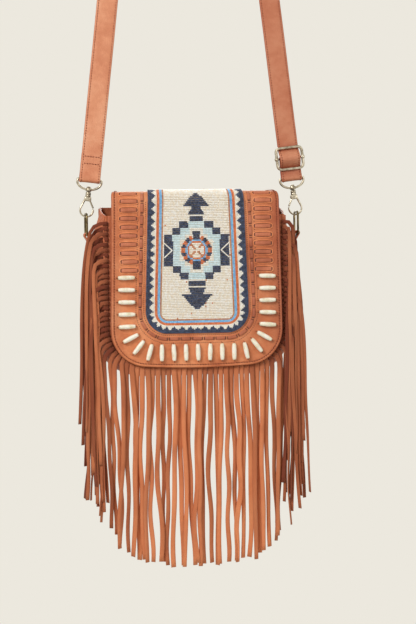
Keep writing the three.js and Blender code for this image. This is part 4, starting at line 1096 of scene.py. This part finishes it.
def tail_points(tail, stations):
    """Sections of a tail, turned and bowed on the way down and cut askew at the end."""
    verts, tones = [], []
    for k, (centre, before, after) in enumerate(neighbours(stations)):
        along = (after - before).normalized()
        t = k / TAIL_STATIONS
        face = (FORWARDS - along * FORWARDS.dot(along)).normalized()
        across = along.cross(face)
        angle = tail.turn * smooth((t - 0.12) / 0.75)
        face, across = (face * math.cos(angle) + across * math.sin(angle),
                        across * math.cos(angle) - face * math.sin(angle))
        half = tail.width / 2 * lerp(1.0, 0.92, t) * (1 + 0.04 * math.sin(tail.phase + 21 * t))
        end_cut = tail.curl if k == TAIL_STATIONS else 0.0
        bow = tail.curl * smooth(t / 0.2) * half
        # painted shade near the seam, more on sideways tails, and a slight wave of tone along the tail
        tone = tail.tone + lerp(0.2, 0.42, tail.sideways) * (1 - smooth(k / 5))
        tone += 0.05 * math.sin(3 * tail.phase + 0.6 * k)
        for a, h in TAIL_SECTION:
            verts.append(centre + across * (a * half) + face * (h + bow * (1 - a * a))
                         + along * (end_cut * a))
            tones.append(tone)
    return verts, tones


def make_fringe():
    fringe = Build()
    top = [FRINGE_U["top"]]
    header = [[Vector((x, HEADER_Y + depth, w)) for x, w in u_ring(FRINGE_U, inset, top, 40, 16, 24)]
              for inset, depth in HEADER_SECTION]
    verts = [p for section in zip(*header) for p in section]
    # painted shade on the header, down in the seam behind the tails
    fringe.add(verts, sweep_faces(len(header[0]), len(header)), 0.5)
    line = flat_line(u_ring(FRINGE_U, 0, top, 60, 30, 60))
    step = line_length(line) / TAILS
    for i, (seam, tangent) in enumerate(along_line(line, step, step / 2)[:TAILS]):
        out = away_from(tangent)
        tail = draw_tail(i, seam, out)
        verts, tones = tail_points(tail, tail_stations(tail, seam, out))
        fringe.add(verts, sweep_faces(TAIL_STATIONS + 1, len(TAIL_SECTION)), tones)
    obj = fringe.piece("fringe_tails", FRINGE_SUEDE, "bag", "fringe_suede", ("fringe",))


# Strap. Its ends are (height above the hook, Y, thickness) in the leaning frame of a hook.

STRAP_SECTION = both_sides([(-12.5, 0.3), (-12.3, 0.85), (-11.7, 1.22), (-10.9, 1.34), (-10.3, 1.02),
                            (-9.6, 1.22), (-6, 1.12), (0, 1.06)])
STRAP_SECTION += both_sides([(12.5, -0.3), (12.3, -0.85), (11.7, -1.2), (10.3, -1.0), (6, -1.12)])
STRAP_SEAM = 10.3
# darker at the strap's edges, and painted shade in its stitch grooves
SECTION_TONES = [0.5 if abs(a) > 12.2 else 0.08 if abs(abs(a) - STRAP_SEAM) < 0.1 else 0.0
                 for a, t in STRAP_SECTION]
STRAP_THICK = 2.4
SKIVED = 1.2  # thickness of the end round the slider's bar
GAP = 0.3
WRAP = 2.9  # round the loop's bar
LOOP_STEPS = 14
SLIDER_BAR = 1.2
SLIDER_RAIL = 12.8
BEHIND_RAIL = 3.2
RAIL_SHADE = 0.5  # shade beside the slider's rails
RAIL_SHADE_AT = 11.3
RAIL_SHADE_WIDTH = 3.0
RIGHT_SHADE = 0.34
ARCH_STEPS = 24
TWIST_STEPS = 36
TWIST_FROM = 20  # down the leg
TWIST_RUN = 190
STRAIGHT_STEPS = 16
FOLD_SEAMS = (LOOP_BAR + 18.5, LOOP_BAR + 27.0)


def hook_point(side, x, y, z):
    """From the leaning frame of a hook to the shared frame."""
    s, c = math.sin(LEAN), math.cos(LEAN)
    return Vector((side * (RING_X + x * c - z * s), y, HOOK_Z + x * s + z * c))


def under_bar():
    angles = [math.pi * i / LOOP_STEPS for i in range(LOOP_STEPS + 1)]
    return [(LOOP_BAR - WRAP * math.sin(a), -WRAP * math.cos(a), STRAP_THICK) for a in angles]


def folded_end():
    opening = LOOP_BAR + 4 * WRAP
    ease = [(lerp(opening, LOOP_BAR, i / 6), lerp(LAYER_Y, WRAP, smooth(i / 6))) for i in range(1, 6)]
    down = [(opening + 30, -LAYER_Y), (opening + 15, -LAYER_Y), (opening, -LAYER_Y)]
    down += [(z, -y) for z, y in ease]
    up = ease[::-1] + [(opening, LAYER_Y), (LOOP_BAR + 21, LAYER_Y), (LOOP_BAR + 30, LAYER_Y)]
    return [(*p, STRAP_THICK) for p in down] + under_bar() + [(*p, STRAP_THICK) for p in up]


def threaded_end():
    bar_wrap = SLIDER_BAR + GAP + SKIVED / 2
    over = SLIDER_BAR + 2 * GAP + SKIVED + STRAP_THICK / 2
    middle, swing = (BEHIND_RAIL - over) / 2, (BEHIND_RAIL + over) / 2
    weave = [(SLIDER_Z + share * SLIDER_RAIL, SLIDER_Y + middle - swing * math.cos(share * math.pi),
              STRAP_THICK) for share in [1 - i / 12 for i in range(25)]]
    round_bar = [(SLIDER_Z + bar_wrap * math.sin(angle), SLIDER_Y + bar_wrap * math.cos(angle), SKIVED)
                 for angle in [math.pi * i / 10 for i in range(11)]]
    return ([(SLIDER_Z + 1.6 * SLIDER_RAIL, -LAYER_Y, STRAP_THICK)] + weave + under_bar()
            + [(SLIDER_Z - SLIDER_RAIL, LAYER_Y, STRAP_THICK),
               (SLIDER_Z - 0.4 * SLIDER_RAIL, -LAYER_Y, (STRAP_THICK + SKIVED) / 2)] + round_bar)


def strap_frames(end):
    """Frames from the top of the arch to the end on the +X side: (centre, along, face, thickness)."""
    s, c = math.sin(LEAN), math.cos(LEAN)
    radius = (RING_X * c + HOOK_Z * s - STRAP_THICK / 2) / (1 - s)
    middle = radius + STRAP_THICK / 2
    leg_top = Vector((middle * c, -LAYER_Y, middle * s - radius))
    down = Vector((s, 0, -c))
    leg = (Vector((RING_X, -LAYER_Y, HOOK_Z)) - leg_top).dot(down)
    frames = []
    for i in range(ARCH_STEPS + 1):
        angle = lerp(math.pi / 2, LEAN, i / ARCH_STEPS)
        face = Vector((math.cos(angle), 0, math.sin(angle)))
        along = Vector((math.sin(angle), 0, -math.cos(angle)))
        frames.append((Vector((0, -LAYER_Y, -radius)) + face * middle, along, face, STRAP_THICK))
    outward = Vector((c, 0, s))
    for i in range(TWIST_STEPS + 1):
        share = i / TWIST_STEPS
        turn = smooth(share) * math.pi / 2
        face = outward * math.cos(turn) + FORWARDS * math.sin(turn)
        frames.append((leg_top + down * (TWIST_FROM + share * TWIST_RUN), down, face, STRAP_THICK))
    twisted = TWIST_FROM + TWIST_RUN
    straight = leg - end[0][0] - twisted
    for i in range(1, STRAIGHT_STEPS):
        centre = leg_top + down * (twisted + straight * i / STRAIGHT_STEPS)
        frames.append((centre, down, FORWARDS, STRAP_THICK))
    for (z, y, thickness), (z0, y0, _), (z1, y1, _) in neighbours(end):
        heading = Vector((z0 - z1, y1 - y0)).normalized()
        along = down * heading.x + BACKWARDS * heading.y
        face = down * heading.y + FORWARDS * heading.x
        centre = leg_top + down * (leg - z)
        centre.y = y
        frames.append((centre, along, face, thickness))
    return frames


def mirrored(v):
    return Vector((-v.x, v.y, v.z))


def strap_tone(point, tone, slider_middle, leg):
    """Painted shadow beside the slider's rails."""
    if point.x <= 0:
        return tone
    from_rail = (abs((point - slider_middle).dot(leg)) - RAIL_SHADE_AT) / RAIL_SHADE_WIDTH
    return tone + RAIL_SHADE * math.exp(-from_rail * from_rail)


def make_strap():
    halves = []
    stitches = Build()
    for side, end, flip in ((1, threaded_end(), Vector), (-1, folded_end(), mirrored)):
        frames = strap_frames(end)
        sections = []
        for centre, along, face, thickness in frames:
            across = along.cross(face)
            scale = thickness / STRAP_THICK
            wander = 0.25 * noise.noise((centre.x * 0.01 * side, 5.0 * side, centre.z * 0.012))
            sections.append([flip(centre + across * (a + wander) + face * (t * scale))
                             for a, t in STRAP_SECTION])
        halves.append(sections)
        for a in (-STRAP_SEAM, STRAP_SEAM):
            for sign in (1, -1):
                line = [flip(centre + along.cross(face) * a + face * (sign * thickness / STRAP_THICK))
                        for centre, along, face, thickness in frames]
                outwards = [flip(face * sign) for centre, along, face, thickness in frames]
                add_stitches(stitches, facing_places(line, outwards, 3.1, 1.7), 1.4, 0.45, 0.5)
    chain = halves[1][::-1] + halves[0][1:]
    slider_middle = hook_point(1, 0, SLIDER_Y, SLIDER_Z)
    leg = (hook_point(1, 0, 0, 1) - hook_point(1, 0, 0, 0)).normalized()
    tones = []
    for section in chain:
        shaded = RIGHT_SHADE * smooth(section[0].x / 60.0)
        tones.extend(strap_tone(point, tone + shaded, slider_middle, leg)
                     for point, tone in zip(section, SECTION_TONES))
    verts = [p for section in chain for p in section]
    faces = sweep_faces(len(chain), len(STRAP_SECTION))
    piece("strap_leather_strip", verts, faces, STRAP_LEATHER, "bag", ("strap",), tones)
    for height in FOLD_SEAMS:
        across = (hook_point(-1, 1, 0, height) - hook_point(-1, 0, 0, height)).normalized()
        for outward in (FORWARDS, BACKWARDS):
            centre = hook_point(-1, 0, outward.y * (LAYER_Y + 1.12), height)
            places = [(centre + across * ((k - 2.5) * 3.2), across, outward) for k in range(6)]
            add_stitches(stitches, places, 1.5, 0.5, 0.6)
    stitches.piece("strap_stitches", THREAD, "bag", "lace_leather")


# Hardware. Lathe profiles are (radius, height).

RING_RADIUS = 1.3  # of its wire
RING_HALF = 11.6
RING_HEIGHT = 25.4
RING_CORNER = 3.0
RING_TOP_CORNER = 5.0
LOOP_HALF = 14.35
LOOP_SHOULDER = LOOP_BAR - 3.0
LOOP_CORNER = 1.7
LOOP_BOSS_Z = 32.2
LOOP_BOSS = both_ends([(1.7, -2.2), (3.1, -2.2), (3.4, -1.8)])
HOOK_BEND = 7.8
HOOK_RADIUS = 1.0  # of its wire
HOOK_NOSE = math.radians(15)
HOOK_START = (3.0, 21.2)
SHELL_Z = 21.25
SHELL_SIDES = 20
HOOK_BLOCKS = ((0.2, 3.9, 18.9, 23.8), (-3.6, 0.3, 23.45, 23.9))  # X from, X to, Z from, Z to
BARREL = [(2.0, 23.7), (2.9, 23.9), (3.2, 24.5), (3.2, 25.4), (2.85, 25.8), (3.2, 26.2), (3.2, 28.4),
          (2.9, 29.1), (2.1, 29.6)]
RIVET = [(1.3, 29.0), (1.3, 34.6), (2.2, 34.72), (2.45, 35.1), (2.3, 35.7), (1.6, 36.1), (0.5, 36.25)]
GATE_X, GATE_Z = -2.3, 21.2
GATE_PIN = both_ends([(0.75, -3.6), (1.1, -3.55), (1.15, -3.3), (0.8, -3.1)])
GATE_LUG = both_ends([(0.95, -1.15), (1.75, -1.15), (1.9, -0.95)])
TAB_INNER, TAB_OUTER, TAB_LOOP = -6.4, -4.5, 2.4
TAB_SECTION = both_sides([(-8, 0.3), (-7.6, 0.75), (-6.6, 0.8)]) + both_sides([(8, -0.3), (7.6, -0.75)])
SLIDER_HALF = 15.8
SLIDER_CORNER = 5.0
SLIDER_WIRE = 1.7
SLIDER_BOSS = both_ends([(1.35, -1.8), (2.3, -1.8), (2.6, -1.5)])
SNAP_Z = FLAP_BOTTOM + 32.0
SNAP_FEMALE = [(0.6, 0.8), (3.9, 0.8), (4.1, 0.6), (4.1, 0.15), (4.5, 0.0), (6.8, 0.0), (7.6, 0.3),
               (8.0, 0.9), (8.0, 2.0), (0.6, 2.0)]
SNAP_MALE = [(0.6, 0.0), (8.0, 0.0), (8.0, 0.8), (7.6, 1.2), (7.0, 1.4), (3.1, 1.4), (3.0, 2.6), (2.6, 2.9),
             (0.6, 2.9)]


def arc(cx, cz, radius, start, stop, steps, squash=1.0):
    """Points on an arc; the angles are in half turns."""
    angles = [lerp(start * math.pi, stop * math.pi, i / steps) for i in range(steps + 1)]
    return [(cx + radius * math.cos(a), cz + radius * squash * math.sin(a)) for a in angles]


def straight(a, b, steps):
    """Points between a and b, without b."""
    return [(lerp(a[0], b[0], i / steps), lerp(a[1], b[1], i / steps)) for i in range(steps)]


def make_ring(side, name):
    low, top, upper = RING_HALF - RING_CORNER, RING_HALF - RING_TOP_CORNER, RING_HEIGHT - RING_TOP_CORNER
    path = arc(low, RING_CORNER, RING_CORNER, -0.5, 0, 6)
    path += arc(top, upper, RING_TOP_CORNER, 0, 0.5, 10) + arc(-top, upper, RING_TOP_CORNER, 0.5, 1, 10)
    path += arc(-low, RING_CORNER, RING_CORNER, 1, 1.5, 6) + straight((-low, 0), (low, 0), 6)[1:]
    verts, faces = tube([(side * RING_X, y, RING_BAR_Z + z) for y, z in path], RING_RADIUS, True, 14)
    piece("ring_wire_" + name, verts, faces, BRASS, "ring_" + name, ("d_ring_" + name,))


def make_loop(at, up, name):
    side, corner_z = LOOP_HALF - LOOP_CORNER, LOOP_BAR - LOOP_CORNER
    path = arc(side, corner_z, LOOP_CORNER, 0, 0.5, 5)
    path += straight((side, LOOP_BAR), (-side, LOOP_BAR), 8)[1:]
    path += arc(-side, corner_z, LOOP_CORNER, 0.5, 1, 5)
    path += arc(0, LOOP_SHOULDER, LOOP_HALF, 1, 2, 32, (LOOP_SHOULDER - LOOP_BOSS_Z) / LOOP_HALF)
    build = Build()
    build.add(*tube([at(x, 0, z) for x, z in path], 1.4, True, 12))
    build.add(*lathe(LOOP_BOSS, at(0, 0, LOOP_BOSS_Z), up))
    build.piece("strap_loop_" + name, NICKEL, "loop_" + name, "nickel", ("hook_loop_" + name,))


def make_hook(at, up, name):
    build = Build()
    nose = HOOK_NOSE / math.pi
    bend = arc(0, HOOK_BEND, HOOK_BEND, nose, -1 - nose, 30)
    path = straight(HOOK_START, bend[0], 8) + bend
    radii = [HOOK_RADIUS + 0.25 * (1 - min(i / 10, 1)) for i in range(len(path))]
    radii[-1] = 0.75
    build.add(*tube([at(x, 0, z) for x, z in path], radii))
    for y0, y1 in ((-3.4, -1.6), (1.6, 3.4)):
        shell = []
        for y, grow in ((y0, -0.35), (lerp(y0, y1, 0.15), 0), (lerp(y0, y1, 0.85), 0), (y1, -0.35)):
            for x, z in arc(0, 0, 1, 0, 2, SHELL_SIDES)[:-1]:
                x, z = rounded(x, 0.4) * (4.0 + grow), rounded(z, 0.4) * (2.75 + grow)
                shell.append(at(x, y, SHELL_Z + z))
        build.add(shell, sweep_faces(4, SHELL_SIDES))
    for x0, x1, z0, z1 in HOOK_BLOCKS:
        corners = ((x0, z0), (x1, z0), (x1, z1), (x0, z1))
        build.add([at(x, y, z) for y in (-1.9, 1.9) for x, z in corners], sweep_faces(2, 4))
    build.add(*lathe(BARREL, at(0, 0, 0), up))
    build.add(*lathe(RIVET, at(0, 0, 0), up))
    build.add(*lathe(GATE_PIN, at(GATE_X, 0, GATE_Z), BACKWARDS, 14))
    build.piece("snap_hook_" + name, NICKEL, "hook_" + name, "nickel", ("hook_" + name, "gate_pin_" + name))


def make_gate(at, name):
    build = Build()
    tip = (-HOOK_BEND * math.cos(HOOK_NOSE), HOOK_BEND * (1 + math.sin(HOOK_NOSE)) + 0.9)
    path = straight((GATE_X, GATE_Z - 0.8), tip, 10) + [tip]
    build.add(*tube([at(x, 0, z) for x, z in path], [1.05] * 10 + [0.8], False, 10))
    build.add(*lathe(GATE_LUG, at(GATE_X, 0, GATE_Z), BACKWARDS, 16))
    build.piece("spring_gate_" + name, NICKEL, "gate_" + name, "nickel", ("gate_" + name,))


def make_tab(side, name):
    slant = math.atan2(TAB_LOOP - TAB_OUTER, 12.0)
    path = [(TAB_INNER, -30.0), (TAB_INNER, -20.0), (TAB_INNER + 0.2, -12.0)]
    path += arc(0, 0, TAB_LOOP, 1, -slant / math.pi, 14)
    path += [(TAB_OUTER, -12.0), (TAB_OUTER - 0.1, -20.0), (TAB_OUTER - 0.1, -30.0)]
    build, stitches = Build(), Build()
    verts = []
    for (x, z), (x0, z0), (x1, z1) in neighbours(path):
        t = Vector((x1 - x0, z1 - z0)).normalized()
        verts.extend(Vector((side * (RING_X + x + t.y * h), y, RING_BAR_Z + z - t.x * h))
                     for y, h in TAB_SECTION)
    build.add(verts, sweep_faces(len(path), len(TAB_SECTION)), 0.15)
    build.piece("ring_tab_leather_" + name, BODY_LEATHER, "bag", "body_leather", ("ring_tab_" + name,))
    spots = [(y, z, (0, 1, 0)) for z in (-13.5, -28.5) for y in (-5.5, -2.75, 0, 2.75, 5.5)]
    spots += [(y, -13.5 - 3 * k, (0, 0, 1)) for k in range(1, 5) for y in (-6.8, 6.8)]
    x = side * (RING_X + TAB_OUTER + 0.75)
    places = [((x, y, RING_BAR_Z + z), way, (side, 0, 0)) for y, z, way in spots]
    add_stitches(stitches, places, 2.2, 0.38, 0.4)
    stitches.piece("tab_stitches_" + name, THREAD, "bag", "lace_leather")


def make_side(side, name):
    def at(x, y, z):
        return hook_point(side, x, y, z)

    up = (at(0, 0, 1) - at(0, 0, 0)).normalized()
    make_ring(side, name)
    make_loop(at, up, name)
    make_hook(at, up, name)
    make_gate(at, name)
    make_tab(side, name)


def make_slider():
    def at(x, y, z):
        return hook_point(1, x, SLIDER_Y + y, SLIDER_Z + z)

    path = []
    for cx, cz, start in ((1, 1, 0), (-1, 1, 0.5), (-1, -1, 1), (1, -1, 1.5)):
        path += arc(cx * (SLIDER_HALF - SLIDER_CORNER), cz * (SLIDER_RAIL - SLIDER_CORNER), SLIDER_CORNER,
                    start, start + 0.5, 8)
    build = Build()
    build.add(*tube([at(x, 0, z) for x, z in path], SLIDER_WIRE, True, 14))
    axis = at(1, 0, 0) - at(0, 0, 0)
    for end in (-1, 1):
        build.add(*lathe(SLIDER_BOSS, at(end * SLIDER_HALF, 0, 0), axis, 18))
    build.piece("slider_wire", NICKEL, "bag", "nickel", ("slider_frame",))
    ends = SLIDER_HALF + SLIDER_WIRE + 0.8
    bar = both_ends([(0.7, -ends), (1.7, -ends + 0.1), (1.8, -ends + 0.6), (SLIDER_BAR, -ends + 0.85)])
    verts, faces = lathe(bar, at(0, 0, 0), axis, 16)
    piece("slider_pin", verts, faces, NICKEL, "bag", ("slider_bar",))


def make_snap():
    for name, profile, y, body, node in (
        ("snap_socket", SNAP_FEMALE, -28.3, "bag", "snap_female"),
        ("snap_stud", SNAP_MALE, -30.1, "flap", "snap_male"),
    ):
        verts, faces = lathe([(r, h + y) for r, h in profile], (0, 0, SNAP_Z), BACKWARDS, 36)
        piece(name, verts, faces, SNAP_METAL, body, (node,))


# Stage: a small pale floor, soft studio light, the photograph's view

BACKGROUND = linear(236, 232, 222)
FLOOR_DARK, FLOOR_LIGHT = linear(228, 224, 214), linear(238, 234, 225)
FLOOR_Z = -1180
FLOOR_RINGS = (120, 300)
FLOOR_SIDES = 64
WORLD_LIGHT = linear(250, 246, 238)
WORLD_STRENGTH = 0.42
LIT_PLACE = Vector((0, 0, -0.7))
LAMPS = (  # name, place, size, power
    ("key", (-1.5, -1.7, 0.55), 0.9, 46),
    ("fill", (1.7, -1.5, -0.3), 1.6, 12),
    ("back", (0.4, 1.9, 0.4), 1.4, 22),
)

VIEW_AZIMUTH = math.radians(-8.5)
VIEW_ELEVATION = math.radians(1.5)
VIEW_ROLL = math.radians(-0.8)
VIEW_DISTANCE = 2.5
VIEW_TARGET = Vector((0.018, 0.0, -0.7008))
FRAME_HEIGHT = 0.7488
SENSOR = 36.0


def make_floor():
    """A disc that lights the object from below and shows the background's colour to the view."""
    n = Nodes("floor")
    colour = n.ramp(n.noise(30.0, 3.0), [(0.3, FLOOR_DARK), (0.7, FLOOR_LIGHT)])
    n.set(Base_Color=colour, Roughness=0.9)
    plain = n.add("ShaderNodeEmission", Color=BACKGROUND)
    seen = n.tree.nodes.new("ShaderNodeLightPath").outputs["Is Camera Ray"]
    either = n.add("ShaderNodeMixShader", Fac=seen)
    n.put(n.shader.outputs["BSDF"], either.inputs[1])
    n.put(plain.outputs["Emission"], either.inputs[2])
    n.put(either.outputs["Shader"], n.tree.nodes["Material Output"].inputs["Surface"])
    verts = [(0, 0, FLOOR_Z)]
    for radius in FLOOR_RINGS:
        for i in range(FLOOR_SIDES):
            angle = 2 * math.pi * i / FLOOR_SIDES
            verts.append((radius * math.cos(angle), radius * math.sin(angle), FLOOR_Z))
    around = [(1 + i, 1 + (i + 1) % FLOOR_SIDES) for i in range(FLOOR_SIDES)]
    faces = [(0, a, b) for a, b in around]
    faces += [(a, a + FLOOR_SIDES, b + FLOOR_SIDES, b) for a, b in around]
    add_object("floor", verts, faces, n.material)


def make_light():
    world = bpy.data.worlds.new("studio")
    world.use_nodes = True
    bpy.context.scene.world = world
    nodes, link = world.node_tree.nodes, world.node_tree.links.new
    light, shown = nodes["Background"], nodes.new("ShaderNodeBackground")
    for node, colour, strength in ((light, WORLD_LIGHT, WORLD_STRENGTH), (shown, BACKGROUND, 1.0)):
        node.inputs["Color"].default_value = colour
        node.inputs["Strength"].default_value = strength
    path = nodes.new("ShaderNodeLightPath")
    either = nodes.new("ShaderNodeMath")
    either.operation = "MAXIMUM"
    mix = nodes.new("ShaderNodeMixShader")
    link(path.outputs["Is Camera Ray"], either.inputs[0])
    link(path.outputs["Is Glossy Ray"], either.inputs[1])
    for i, node in enumerate((either, light, shown)):
        link(node.outputs[0], mix.inputs[i])
    link(mix.outputs[0], nodes["World Output"].inputs["Surface"])
    for name, place, size, power in LAMPS:
        lamp = bpy.data.lights.new(name, "AREA")
        lamp.size = size
        lamp.energy = power
        obj = bpy.data.objects.new(name, lamp)
        obj.location = place
        obj.rotation_euler = (LIT_PLACE - Vector(place)).to_track_quat("-Z", "Y").to_euler()
        bpy.context.scene.collection.objects.link(obj)


def make_camera():
    data = bpy.data.cameras.new("camera")
    data.sensor_width = SENSOR
    data.lens = SENSOR * VIEW_DISTANCE / FRAME_HEIGHT
    camera = bpy.data.objects.new("camera", data)
    direction = Vector((math.sin(VIEW_AZIMUTH) * math.cos(VIEW_ELEVATION),
                        -math.cos(VIEW_AZIMUTH) * math.cos(VIEW_ELEVATION), math.sin(VIEW_ELEVATION)))
    look = (-direction).to_track_quat("-Z", "Y").to_matrix().to_4x4()
    camera.matrix_world = (Matrix.Translation(VIEW_TARGET + direction * VIEW_DISTANCE) @ look
                           @ Matrix.Rotation(VIEW_ROLL, 4, "Z"))
    bpy.context.scene.collection.objects.link(camera)
    bpy.context.scene.camera = camera


make_flap()
make_laces()
make_bead_panel()
make_bone_beads()
make_panels()
make_gusset()
make_pouch()
make_fringe()
make_strap()
for side, name in ((-1, "left"), (1, "right")):
    make_side(side, name)
make_slider()
make_snap()
make_floor()
make_light()
make_camera()
bpy.context.scene.view_settings.view_transform = "Standard"
